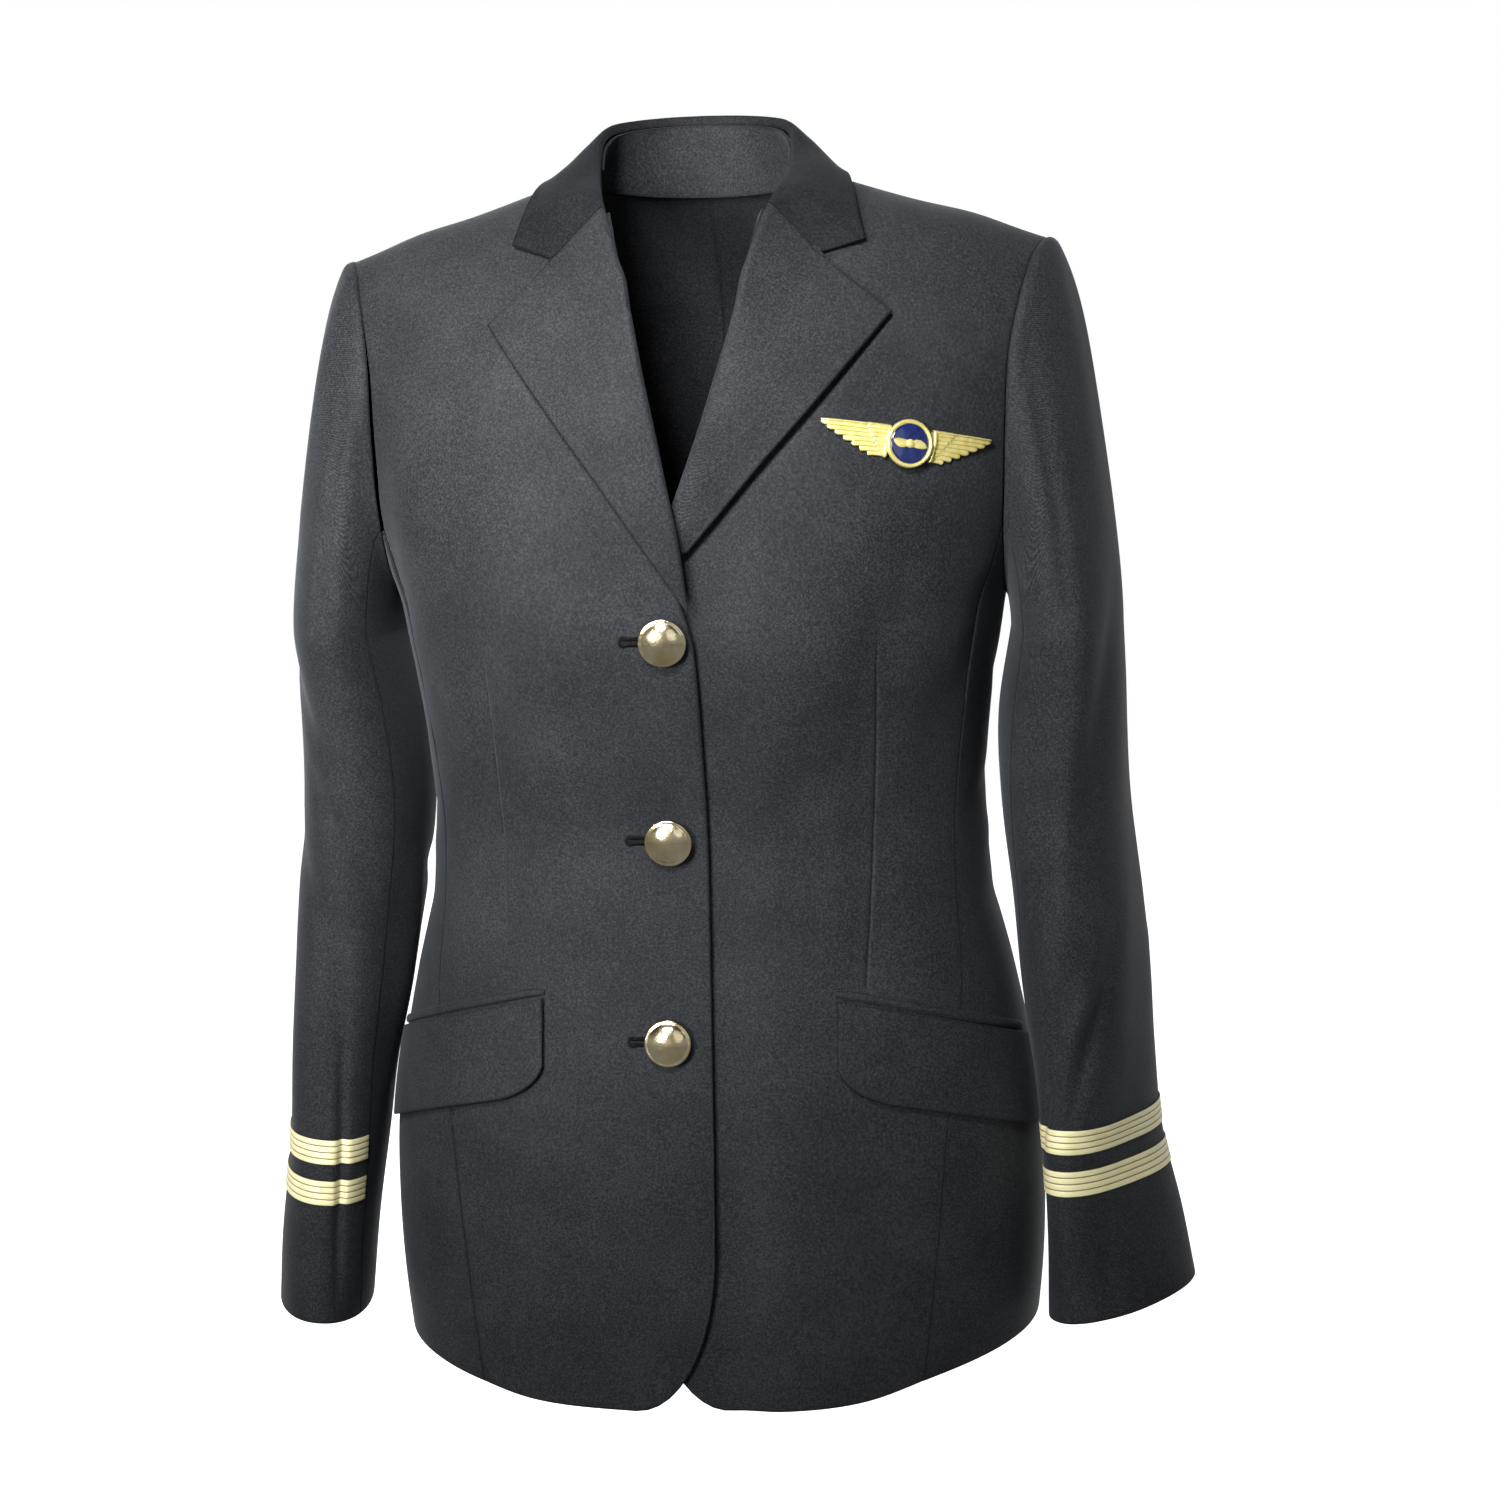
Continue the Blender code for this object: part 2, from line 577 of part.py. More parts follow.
def sleeve(side):
    """u is the armhole angle in degrees, v is 0..1 over the sleeve head and 1..2 down to the cuff."""

    def point(u, v):
        signed = np.where(u > 180, u - 360, u)
        start = armhole(side, signed) + np.array([side * CAP_CLEAR, 0, 0])
        end = sleeve_ring(side, np.full(np.shape(u), SLEEVE_TOP_Z), ring_degrees(u, 1.0))
        out = 0.5 * (1 + np.cos(np.radians(u)))
        leave = np.stack([side * CAP_OUT * (0.12 + 0.88 * out), -16 * np.sin(np.radians(u)), 28 * out - 22], -1)
        drop = start[..., 2] - SLEEVE_TOP_Z
        arrive = np.stack([0 * drop, 0 * drop, -0.75 * drop], -1)
        t = np.clip(v, 0, 1)[..., None]
        head = (
            (1 + 2 * t) * (1 - t) ** 2 * start
            + t * (1 - t) ** 2 * leave
            + t * t * (3 - 2 * t) * end
            + t * t * (t - 1) * arrive
        )
        down = np.clip(v - 1, 0, 1)
        z = mix(SLEEVE_TOP_Z, SLEEVES[side][-1][0], down)
        arm = sleeve_ring(side, z, ring_degrees(u, 1 + down))
        return np.where(v[..., None] < 1, head, arm)

    return point


def band_z(side, number):
    """Height of the lower edge of a band of braid, number 0 is the one nearer the cuff."""
    return SLEEVES[side][-1][0] + BRAID["off_cuff"] + number * (BRAID["wide"] + BRAID["gap"])


def braid(side, number, lift):
    """One band of braid round the top sleeve: u is the armhole angle, v runs up across the band."""
    low = band_z(side, number)

    def point(u, v):
        z = low + v * BRAID["wide"]
        down = (z - SLEEVE_TOP_Z) / (SLEEVES[side][-1][0] - SLEEVE_TOP_Z)
        return sleeve_ring(side, z, ring_degrees(u, 1 + down), lift)

    return point


# ---------------------------------------------------------------- pockets and badge
def pocket_line(side, u):
    """Body angle and height along the top of a pocket, u from its front end."""
    front = np.abs(angle_at(FLAP["x"], FLAP["front_z"]))
    angle = side * mix(front, np.radians(FLAP["side_deg"]), u)
    return angle, mix(FLAP["front_z"], FLAP["side_z"], u)


def flap(side):
    def point(u, v):
        angle, top = pocket_line(side, u)
        near = np.clip(1 - u / FLAP["corner"], 0, 1)
        tall = FLAP["tall"] - 19.0 * (1 - np.sqrt(np.clip(1 - near**2, 0, 1))) - 1.0
        swing = side * np.radians(1.6) * v * np.clip(1 - u / 0.5, 0, 1)
        return form(angle + swing, top - 1.0 - v * tall, FLAP_LIFT + WALL + 1.2 * v)

    return point


def welt(side):
    def point(u, v):
        angle, top = pocket_line(side, u)
        return form(angle, top + v * WELT_TALL, FLAP_LIFT + 1.2)

    return point


def badge_place(along, up, lift):
    """A point of the chest at a distance along and above the badge line."""
    xs = np.linspace(BADGE["x"] - 60, BADGE["x"] + 60, 241)
    line = on_front(xs, BADGE["z"] + BADGE["slope"] * (xs - BADGE["x"]))
    steps = np.linalg.norm(np.diff(line, axis=0), axis=1)
    lengths = np.concatenate([[0], np.cumsum(steps)])
    lengths = lengths - np.interp(BADGE["x"], xs, lengths)
    x = np.interp(along, lengths, xs)
    z = BADGE["z"] + BADGE["slope"] * (x - BADGE["x"]) + up
    return on_front(x - BADGE["slope"] * up, z, lift)


def wings(u, v):
    """u is the distance from the badge centre to the wearer's left, v runs from the lower to the upper outline."""
    upper, lower = smooth(WING, 1, np.abs(u)), smooth(WING, 2, np.abs(u))
    return badge_place(u, mix(lower, upper, v), BADGE["lift"] + BADGE["thick"])


def frame_at(place, tiny=0.5):
    """Origin and axes of a small part that stands on the cloth: across, up and out."""
    origin = place(0.0, 0.0)
    across = place(tiny, 0.0) - place(-tiny, 0.0)
    up = place(0.0, tiny) - place(0.0, -tiny)
    across /= np.linalg.norm(across)
    out = np.cross(across, up)
    out /= np.linalg.norm(out)
    return origin, across, np.cross(out, across), out


# ---------------------------------------------------------------- mesh helpers
def clear_scene():
    for thing in list(bpy.data.objects):
        bpy.data.objects.remove(thing)


def add_material(name):
    if name in bpy.data.materials:
        return bpy.data.materials[name]
    colour, roughness, metallic = MATERIALS[name]
    made = bpy.data.materials.new(name)
    made.use_nodes = True
    shader = made.node_tree.nodes["Principled BSDF"]
    shader.inputs["Base Color"].default_value = (*colour, 1)
    shader.inputs["Roughness"].default_value = roughness
    shader.inputs["Metallic"].default_value = metallic
    return made


def add_mesh(name, points, faces, material):
    mesh = bpy.data.meshes.new(name)
    mesh.from_pydata((np.asarray(points) * MM).tolist(), [], [list(face) for face in faces])
    mesh.update()
    for polygon in mesh.polygons:
        polygon.use_smooth = True
    mesh.materials.append(add_material(material))
    made = bpy.data.objects.new(name, mesh)
    bpy.context.scene.collection.objects.link(made)
    return made


def surface(point, us, vs, outward):
    """Grid of points of a patch and its outward normals. outward is +1 or -1, the side of the u cross v direction."""
    u, v = np.meshgrid(us, vs)
    tiny_u = 1e-4 * (us[-1] - us[0])
    tiny_v = 1e-4 * (vs[-1] - vs[0])
    ahead_u, behind_u = np.clip(u + tiny_u, us[0], us[-1]), np.clip(u - tiny_u, us[0], us[-1])
    ahead_v, behind_v = np.clip(v + tiny_v, vs[0], vs[-1]), np.clip(v - tiny_v, vs[0], vs[-1])
    along = point(ahead_u, v) - point(behind_u, v)
    across = point(u, ahead_v) - point(u, behind_v)
    normal = np.cross(along, across) * outward
    normal /= np.linalg.norm(normal, axis=-1, keepdims=True)
    return point(u, v), normal


def shell(name, outer, inner, material, facing):
    """Closed thin body between two grids of points. facing is +1 where u cross v points outwards."""
    rows, columns = outer.shape[:2]
    count = rows * columns
    points = np.concatenate([outer.reshape(-1, 3), inner.reshape(-1, 3)])
    faces = []

    def quad(a, b, c, d):
        faces.append((a, b, c, d) if facing > 0 else (d, c, b, a))

    for r in range(rows - 1):
        for c in range(columns - 1):
            at = r * columns + c
            quad(at, at + 1, at + columns + 1, at + columns)
            quad(count + at, count + at + columns, count + at + columns + 1, count + at + 1)
    for c in range(columns - 1):
        low, high = c, (rows - 1) * columns + c
        quad(low, count + low, count + low + 1, low + 1)
        quad(high, high + 1, count + high + 1, count + high)
    for r in range(rows - 1):
        first, last = r * columns, r * columns + columns - 1
        quad(first, first + columns, count + first + columns, count + first)
        quad(last, count + last, count + last + columns, last + columns)
    return add_mesh(name, points, faces, material)


def cloth(name, point, us, vs, facing, wall=WALL, material="cloth", trim=HALF_GAP, within=()):
    """A cloth piece: the patch, drawn in from its seams by trim, and its inner face one wall deeper.

    within holds (axis, sign) pairs: the piece stays on that side of the middle plane of the axis.
    """
    outer, normal = surface(point, np.asarray(us, float), np.asarray(vs, float), facing)
    outer = drawn_in(outer, trim)
    inner = outer - normal * wall
    for axis, sign in within:
        for grid in (outer, inner):
            grid[..., axis] = sign * np.maximum(sign * grid[..., axis], HALF_GAP)
    return shell(name, outer, inner, material, facing)


def drawn_in(grid, trim):
    """The grid with its four edges moved in along the surface, which leaves the seam gap."""
    grid = grid.copy()

    def pull(edge, inside):
        step = inside - edge
        return edge + step / np.linalg.norm(step, axis=-1, keepdims=True) * trim

    first, last = pull(grid[0], grid[1]), pull(grid[-1], grid[-2])
    grid[0], grid[-1] = first, last
    left, right = pull(grid[:, 0], grid[:, 1]), pull(grid[:, -1], grid[:, -2])
    grid[:, 0], grid[:, -1] = left, right
    return grid


def turned(name, frame, profile, material, steps=20):
    """A round part from a profile of (radius, height) rows, standing on frame. The profile starts and ends on its axis."""
    origin, across, up, out = frame
    angles = np.linspace(0, 2 * np.pi, steps, endpoint=False)
    points = [origin + out * profile[0][1]]
    for radius, height in profile[1:-1]:
        for a in angles:
            points.append(origin + (across * np.cos(a) + up * np.sin(a)) * radius + out * height)
    points.append(origin + out * profile[-1][1])
    faces = []
    rings = len(profile) - 2
    last = len(points) - 1
    for k in range(steps):
        after = (k + 1) % steps
        faces.append((0, 1 + after, 1 + k))
        for r in range(rings - 1):
            low, high = 1 + r * steps, 1 + (r + 1) * steps
            faces.append((low + k, low + after, high + after, high + k))
        top = 1 + (rings - 1) * steps
        faces.append((top + k, top + after, last))
    return add_mesh(name, points, faces, material)


SIDES = ((RIGHT, "right"), (LEFT, "left"))
BODY_ROWS = np.concatenate([np.linspace(0, 1, 11), np.linspace(1.1, 2, 10)])
FRONT_COLUMNS = np.concatenate([[0, 0.05, 0.12, 0.2], np.linspace(0.3, 1, 8)])
LOOP_STEP = 15.0
OVER_LOOPS = np.arange(-ARMHOLE_SEAM, ARMHOLE_SEAM + 1, LOOP_STEP)
UNDER_LOOPS = np.arange(ARMHOLE_SEAM, 361 - ARMHOLE_SEAM, LOOP_STEP)
SLEEVE_ROWS = (0, 0.15, 0.35, 0.6, 0.8, 1, 1.14, 1.28, 1.42, 1.56, 1.66)


def build_body():
    for side, name in SIDES:
        ends = np.linspace(0, 1, 9)
        cloth(f"front_{name}", front_panel(side), FRONT_COLUMNS, BODY_ROWS, side, within=[(1, -1)])
        cloth(f"back_{name}", back_panel(side), np.linspace(0, 1, 8), BODY_ROWS, -side, within=[(0, side), (1, 1)])
        cloth(f"side_{name}", side_panel(side), ends, BODY_ROWS[:13], side)


def sleeve_rows(side):
    """Rows of a sleeve, with one at each edge of the braid bands."""
    edges = [band_z(side, number) + v * BRAID["wide"] for number in (1, 0) for v in (1, 0)]
    cuff_z = SLEEVES[side][-1][0]
    rows = [1 + (z - SLEEVE_TOP_Z) / (cuff_z - SLEEVE_TOP_Z) for z in edges]
    return [*SLEEVE_ROWS, *rows, 1.91, 2]


def build_sleeves():
    for side, name in SIDES:
        rows = sleeve_rows(side)
        cloth(f"sleeve_top_{name}", sleeve(side), OVER_LOOPS, rows, side, trim=0.2)
        cloth(f"sleeve_under_{name}", sleeve(side), UNDER_LOOPS, rows, side, trim=0.2)
        for number in (0, 1):
            band = braid(side, number, BRAID["lift"] + BRAID["thick"])
            label = f"braid_{name}_{number + 1}"
            cloth(label, band, OVER_LOOPS, (0, 1), -side, wall=BRAID["thick"], material="braid", trim=0.8)


def build_neck():
    for side, name in SIDES:
        columns = (0, 0.035, 0.07, 0.2, 0.4, 0.6, 0.8, 1)
        cloth(f"lapel_{name}", lapel(side), columns, np.linspace(0, 0.985, 10), -side)
    round_neck = np.linspace(0, 16, 23)
    cloth("collar", collar_fall, round_neck, (0, 0.15, 0.35, 0.6, 0.8, 1), 1, trim=0.3)
    cloth("collar_stand", collar_stand, round_neck[4:-4], (0, 0.5, 1), -1, wall=1.6)


def build_pockets():
    for side, name in SIDES:
        columns = (0, 0.03, 0.08, 0.15, 0.24, 0.4, 0.6, 0.8, 1)
        cloth(f"flap_{name}", flap(side), columns, (0, 0.33, 0.66, 1), -side)
        cloth(f"welt_{name}", welt(side), np.linspace(0, 1, 7), (0, 1), side, wall=1.2)


def build_trims():
    for number, (x, z, rise) in enumerate(BUTTONS, 1):
        frame = frame_at(lambda a, b, x=x, z=z, rise=rise: on_front(x + a, z + b, rise))
        turned(f"button_{number}", frame, BUTTON_PROFILE, "brass")
    half = [row[0] for row in WING]
    spans = sorted(set(half) | {-value for value in half})
    cloth("badge_wings", wings, spans, (0, 0.5, 1), 1, wall=BADGE["thick"], material="braid", trim=0.0)
    frame = frame_at(lambda a, b: badge_place(a, b, 0.0))
    low, high, floor = DISC["low"], DISC["high"], DISC["high"] - DISC["well_deep"]
    rim, well = DISC["radius"], DISC["well"]
    turned("badge_disc", frame, ((0, low), (rim, low), (rim, high - 0.3), (rim - 0.6, high), (well, high), (well, floor), (0, floor)), "brass", 28)
    base = floor + SEAM_GAP
    size = DISC["enamel"]
    turned("badge_enamel", frame, ((0, base), (size, base), (size, base + 0.5), (size - 2, base + 0.9), (0, base + 1.2)), "enamel", 28)


clear_scene()
build_body()
build_sleeves()
build_neck()
build_pockets()
build_trims()
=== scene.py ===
"""Pilot uniform jacket, worn form: cloth, braid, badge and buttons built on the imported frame.

Frame: +Z up, the front faces -Y, +X is the wearer's left. Sizes are in millimetres and become metres in add_mesh.
"""

import bpy
import numpy as np
from mathutils import Matrix, Vector


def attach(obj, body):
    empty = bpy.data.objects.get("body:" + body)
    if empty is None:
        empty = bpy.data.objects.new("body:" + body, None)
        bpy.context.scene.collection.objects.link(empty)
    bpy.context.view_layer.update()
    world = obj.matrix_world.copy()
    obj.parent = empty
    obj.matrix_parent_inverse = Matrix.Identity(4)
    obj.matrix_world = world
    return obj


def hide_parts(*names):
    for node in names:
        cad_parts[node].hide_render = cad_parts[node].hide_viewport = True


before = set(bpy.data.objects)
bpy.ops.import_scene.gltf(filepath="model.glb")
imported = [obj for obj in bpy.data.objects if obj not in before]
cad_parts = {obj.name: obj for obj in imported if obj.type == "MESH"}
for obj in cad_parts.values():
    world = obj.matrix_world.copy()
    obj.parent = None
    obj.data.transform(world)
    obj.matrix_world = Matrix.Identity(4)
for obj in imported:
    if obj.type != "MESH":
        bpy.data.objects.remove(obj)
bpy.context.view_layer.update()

MM = 0.001
WALL = 2.0  # thickness of a cloth layer

RIGHT, LEFT = -1, 1  # wearer's right is -X, wearer's left is +X

# ---------------------------------------------------------------- body form
SQUARENESS = 2.4  # exponent of the level sections, 2 is an ellipse
SHOULDER_ROUND = 150.0  # height over which the chest rounds into the shoulder line
NECK_Z = 19.6  # height of the shoulder line on the axis, were the neck closed
SEAM_DROP = 2e-4  # the shoulder seam stays this far under the crest, which parts front from back
NECK_SOFT = 20.0  # how softly the shoulder line turns over on the axis
SHOULDER_SLOPE = {RIGHT: 0.345, LEFT: 0.315}  # the left shoulder sits a little higher
BUST = {"x": 82.0, "z": -238.0, "wide": 52.0, "tall": 58.0, "rise": 7.0}

# level sections of the cloth's outer face: height, half width, depth to the front, depth to the back
SECTIONS = (
    (-680, 174, 112, 115),
    (-640, 178, 112, 115),
    (-600, 181.5, 111, 115),
    (-560, 182.5, 110, 115),
    (-515, 181, 109, 114),
    (-470, 175, 107, 110),
    (-430, 167, 103, 100),
    (-388, 157, 99, 89),
    (-345, 153, 98, 85),
    (-288, 156, 108, 90),
    (-240, 163, 117, 98),
    (-222, 166, 118, 101),
    (-200, 173, 118, 104),
    (-170, 181, 117, 107),
    (-135, 188, 114, 109),
    (-100, 197, 110, 109),
    (-70, 206, 106, 108),
    (-40, 214, 102, 106),
    (0, 224, 98, 100),
    (40, 228, 96, 96),
)

# ---------------------------------------------------------------- outlines
CHEST_Z = -240.0  # below this the rows of a panel are level
HEM_FRONT_Z = -655.0
# lower edge of the body: angle from the front (degrees), height on the right, height on the left
HEM = (
    (0, -655, -655),
    (25, -653, -650),
    (42, -647, -640),
    (65, -640, -632),
    (90, -637, -629),
    (120, -638, -632),
    (180, -641, -641),
)
ROUNDS = 6  # repeats that settle a height on the sloping shoulder line
ROLL_SETBACK = 4.5  # the front ends this far from the roll line, where the facing turns over it
CORNER = {"wide": 45.0, "tall": 90.0}  # rounding of the front hem corners
NECK_HALF_WIDTH = 75.0
NECK_BACK_Z = -8.0

# front edge below the break, roll line above it, then the neckline: height, x on the right front, x on the left front
FRONT_EDGE = (
    (-570, 12, -28),
    (-480, 13.5, -28.5),
    (-370, 13.5, -29),
    (-300, 13, -29),
    (-240, 11.5, -28),
    (-211, 9, -17),
    (-177, 5, -4),
    (-151, 0, 6.5),
    (-125, -5, 16),
    (-92, -12.5, 26),
    (-62, -20, 35),
    (-37, -28, 41),
    (-17, -47, 53),
    (-4, -66, 68),
    (0.8, -75, 75),
)

# side seams of the body: height, angle from the front, angle from the back (degrees)
SIDE_SEAMS = (
    (-660, 39, 58),
    (-565, 42, 59),
    (-500, 46, 60),
    (-440, 55, 62),
    (-408, 59.5, 63.5),
    (-345, 64, 65),
    (-288, 66.4, 67),
    (-240, 67, 69),
    (-181, 68, 72),
)

# armhole loop: angle round it from the shoulder, body angle from the front, body angle from the back (degrees)
ARMHOLE = (
    (0, 59, 59),
    (30, 55.7, 57.5),
    (60, 56, 60),
    (90, 62.3, 66),
    (120, 68, 72),
    (150, 78, 80),
    (180, 90, 90),
)
ARMHOLE_MID_Z, ARMHOLE_DOWN = -140.0, 82.0
ARMHOLE_SEAM = 120.0  # loop angle where the side seams meet the armhole

# rows of the upper panels: row, loop angle of the armhole end (below 120: the side seam), share of the shoulder slope
UPPER_ROWS = (
    (0, 0, 0.0),
    (1, 0, 0.0),
    (2, 120, 0.1),
    (3, 105, 0.25),
    (4, 90, 0.4),
    (5, 75, 0.55),
    (6, 60, 0.7),
    (7, 45, 0.82),
    (8, 30, 0.92),
    (9, 15, 0.98),
    (10, 0, 1.0),
)

# ---------------------------------------------------------------- collar and lapels
LAPEL_TOP_Z = -11.0
LAPEL_END_Z = {RIGHT: -222.0, LEFT: -193.0}
# share of the way down, outer edge of the right lapel x and z, outer edge of the left lapel x and z
LAPEL_EDGE = (
    (0.0, -96, -70, 111, -67),
    (0.2, -75, -98, 90, -93),
    (0.4, -54, -126, 69, -118),
    (0.6, -33, -155, 47, -143),
    (0.8, -12, -186, 25.5, -169),
    (1.0, 8, -216, 8, -189),
)
LAPEL_LIFT = 5.0  # outer face of the lapel over the outer face of the front
# stations from the front end (0) to the centre back (8): neck seam x, z; roll line x, y, z; outer edge x and its angle
# over the shoulder (0 at the chest, 90 on the shoulder line, above 90 on the back)
COLLAR = (
    (0, 50, -16, 44, -62, -10.5, 92.5, 54.5),
    (1, 60, -9, 48, -44, -2.5, 89, 63),
    (2, 69, -3, 51.5, -21, 6, 85, 76),
    (3, 75, 1, 53.5, -3, 15, 81, 90),
    (4, 70, -0.3, 53, 13, 26, 75, 103),
    (5, 60, -3, 48.5, 28, 31.5, 64.5, 114),
    (6, 43, -5.5, 37.5, 43, 34, 48, 123),
    (7, 22, -7.5, 20, 53, 35.5, 25.5, 129),
    (8, 0, -8, 0, 56.5, 36, 0, 131),
)
CENTRE_BACK = 8  # its station
COLLAR_SHIFT = 5.0  # the neck opening sits this far to the wearer's left at the front
NOTCH = {"x": 69.0, "z": -37.5, "share": 0.4}  # inner end of the notch, where collar and lapel part
FALL_LIFT = 4.2  # outer edge of the collar over the outer face of the front
GORGE_Z, GORGE_TALL = -37.0, 26.0  # the roll line leaves the front's edge here, and its way from there up to the gorge

# ---------------------------------------------------------------- sleeves
# height, outer x, inner x, centre y, half depth, turn (degrees, front end inwards), rise of the outer side per mm
SLEEVE_RIGHT = (
    (-240, 226.5, 168.5, 0, 74, 0, 0),
    (-288, 226, 161, 0, 66, 0, 0),
    (-339, 228, 159, -2, 60, 0, 0.02),
    (-385, 232.5, 164.5, -6, 58, 0, 0.04),
    (-432, 236, 173, -11, 57, 2, 0.06),
    (-478, 240, 182, -15, 55, 4, 0.08),
    (-525, 243, 187.5, -20, 54, 6, 0.09),
    (-574, 249, 194, -25, 52, 8, 0.1),
    (-620, 252.5, 198, -29, 52, 10, 0.1),
)
SLEEVE_LEFT = (
    (-240, 229, 168.5, 0, 74, 0, 0),
    (-288, 231, 161, 0, 66, 0, 0),
    (-339, 233, 163, -2, 60, 4, 0.01),
    (-385, 238, 169, -7, 58, 8, 0.02),
    (-432, 242, 174, -12, 56, 14, 0.02),
    (-478, 244, 181, -17, 53, 20, 0.0),
    (-525, 248, 186, -22, 51, 30, -0.02),
    (-572, 259, 188, -26, 49, 38, 0.06),
    (-611, 266, 188, -30, 48, 42, 0.16),
)
SLEEVES = {RIGHT: SLEEVE_RIGHT, LEFT: SLEEVE_LEFT}
SLEEVE_TOP_Z = -240.0
CAP_OUT = 46.0  # how far the sleeve head pushes out before it turns down
CAP_CLEAR = 0.8  # gap between the sleeve head and the armhole
SLEEVE_SEAMS = (120.0, 132.0, 142.0)  # section angle of the sleeve seams at the armhole, upper arm and cuff

# ---------------------------------------------------------------- trims
BUTTONS = ((-4.5, -233.0, 0.0), (-7.5, -342.0, 0.8), (-10.0, -450.0, 0.0))  # x, height and rise off the right front
FLAP = {"x": 78.0, "side_deg": 83.0, "front_z": -427.0, "side_z": -464.0, "tall": 53.0}
FLAP_LIFT = 1.0  # inner face of the flap over the outer face of the front
WELT_TALL = 6.0
BRAID = {"wide": 14.0, "gap": 9.0, "off_cuff": 67.0}
BADGE = {"x": 121.5, "z": -135.0, "slope": -0.19}
BADGE_REACH = 60.0  # a little more than half of its width


def smooth(table, column, at):
    """A column of a table read at any value of its first column, with soft cubic turns between rows."""
    rows = np.array([(row[0], row[column]) for row in table], float)
    rows = rows[np.argsort(rows[:, 0])]
    keys, values = rows[:, 0], rows[:, 1]
    slopes = np.gradient(values, keys)
    at = np.clip(np.asarray(at, float), keys[0], keys[-1])
    i = np.clip(np.searchsorted(keys, at, side="right") - 1, 0, len(keys) - 2)
    step = keys[i + 1] - keys[i]
    s = (at - keys[i]) / step
    return curve(values[i], step * slopes[i], values[i + 1], step * slopes[i + 1], s)


def mix(a, b, t):
    return a + (b - a) * t


def power(value, exponent):
    return np.sign(value) * np.abs(value) ** exponent


def soft_step(t):
    return t * t * (3 - 2 * t)


def bell(distance, wide):
    return np.exp(-((distance / wide) ** 2))


def unit(vectors):
    return vectors / np.linalg.norm(vectors, axis=-1, keepdims=True)


def curve(start, leave, end, arrive, t):
    """Cubic from start to end; leave and arrive are its slopes there."""
    early = (1 + 2 * t) * (1 - t) ** 2 * start + t * (1 - t) ** 2 * leave
    return early + t * t * (3 - 2 * t) * end + t * t * (t - 1) * arrive


def shoulder_z(x):
    slope = np.where(np.asarray(x) < 0, SHOULDER_SLOPE[RIGHT], SHOULDER_SLOPE[LEFT])
    return NECK_Z - slope * (np.sqrt(np.square(x) + NECK_SOFT**2) - NECK_SOFT)


def form(angle, z, lift=0.0):
    """A point of the body form. angle, in radians, is 0 at the front and a quarter turn at the wearer's left."""
    sine, cosine = np.sin(angle), np.cos(angle)
    x = (smooth(SECTIONS, 1, z) + lift) * power(sine, 2 / SQUARENESS)
    depth = np.where(cosine > 0, smooth(SECTIONS, 2, z), smooth(SECTIONS, 3, z)) + lift
    hill = ((np.abs(x) - BUST["x"]) / BUST["wide"]) ** 2 + ((z - BUST["z"]) / BUST["tall"]) ** 2
    depth = depth + np.where(cosine > 0, BUST["rise"] * np.exp(-hill), 0.0)
    crest = shoulder_z(x) - SEAM_DROP
    rise = np.clip((np.minimum(z, crest) - shoulder_z(x) + SHOULDER_ROUND) / SHOULDER_ROUND, 0, 1)
    y = -depth * power(cosine, 2 / SQUARENESS) * np.sqrt(1 - rise**2)
    return np.stack(np.broadcast_arrays(x, y, z), -1)


def angle_at(x, z):
    """The form angle, on the front, of a given x."""
    share = np.clip(np.abs(x) / smooth(SECTIONS, 1, z), 0, 1)
    return np.sign(x) * np.arcsin(share ** (SQUARENESS / 2))


def on_front(x, z, lift=0.0):
    return form(angle_at(x, z), z, lift)


def shoulder_end_z(side):
    """Height where the shoulder seam meets the armhole."""
    z = -38.0
    for _ in range(ROUNDS):
        z = float(shoulder_z(side * smooth(SECTIONS, 1, z) * np.sin(np.radians(ARMHOLE[0][1])) ** (2 / SQUARENESS)))
    return z


def armhole_z(side, loop):
    """Height of the armhole loop; loop is its angle in degrees, 0 at the shoulder and 180 under the arm."""
    cosine = np.cos(np.radians(loop))
    up = shoulder_end_z(side) - ARMHOLE_MID_Z
    return ARMHOLE_MID_Z + np.where(cosine > 0, up, ARMHOLE_DOWN) * cosine


def armhole_angle(side, loop):
    """Body angle of the armhole loop: positive loop angles run down the front, negative ones down the back."""
    ahead = smooth(ARMHOLE, 1, np.abs(loop))
    behind = 180 - smooth(ARMHOLE, 2, np.abs(loop))
    return side * np.radians(np.where(np.asarray(loop) >= 0, ahead, behind))


def armhole(side, loop, lift=0.0):
    z = armhole_z(side, loop)
    return form(armhole_angle(side, loop), z, lift)


# ---------------------------------------------------------------- body panels
def hem_z(side, degrees):
    return smooth(HEM, 1 if side == RIGHT else 2, degrees)


def seam_hem_z(side, back):
    column = 2 if back else 1
    turn = float(SIDE_SEAMS[0][column])
    return float(hem_z(side, 180 - turn if back else turn))


def panel_end(side, v, back):
    """Height and body angle of the outer end of a panel row: v is 0 at the hem, 1 at the chest, 2 at the shoulder."""
    column = 2 if back else 1
    row = np.clip((v - 1) * 10, 0, 10)
    loop = np.where(row < 2, ARMHOLE_SEAM, ARMHOLE_SEAM - (row - 2) * 15)
    seam_top = armhole_z(side, ARMHOLE_SEAM)
    below = np.where(v < 1, mix(seam_hem_z(side, back), CHEST_Z, v), mix(CHEST_Z, seam_top, np.clip(row / 2, 0, 1)))
    z = np.where(row < 2, below, armhole_z(side, loop))
    seam = smooth(SIDE_SEAMS, column, z)
    angle = np.where(row < 2, seam, smooth(ARMHOLE, column, loop))
    return z, np.radians(180 - angle if back else angle)


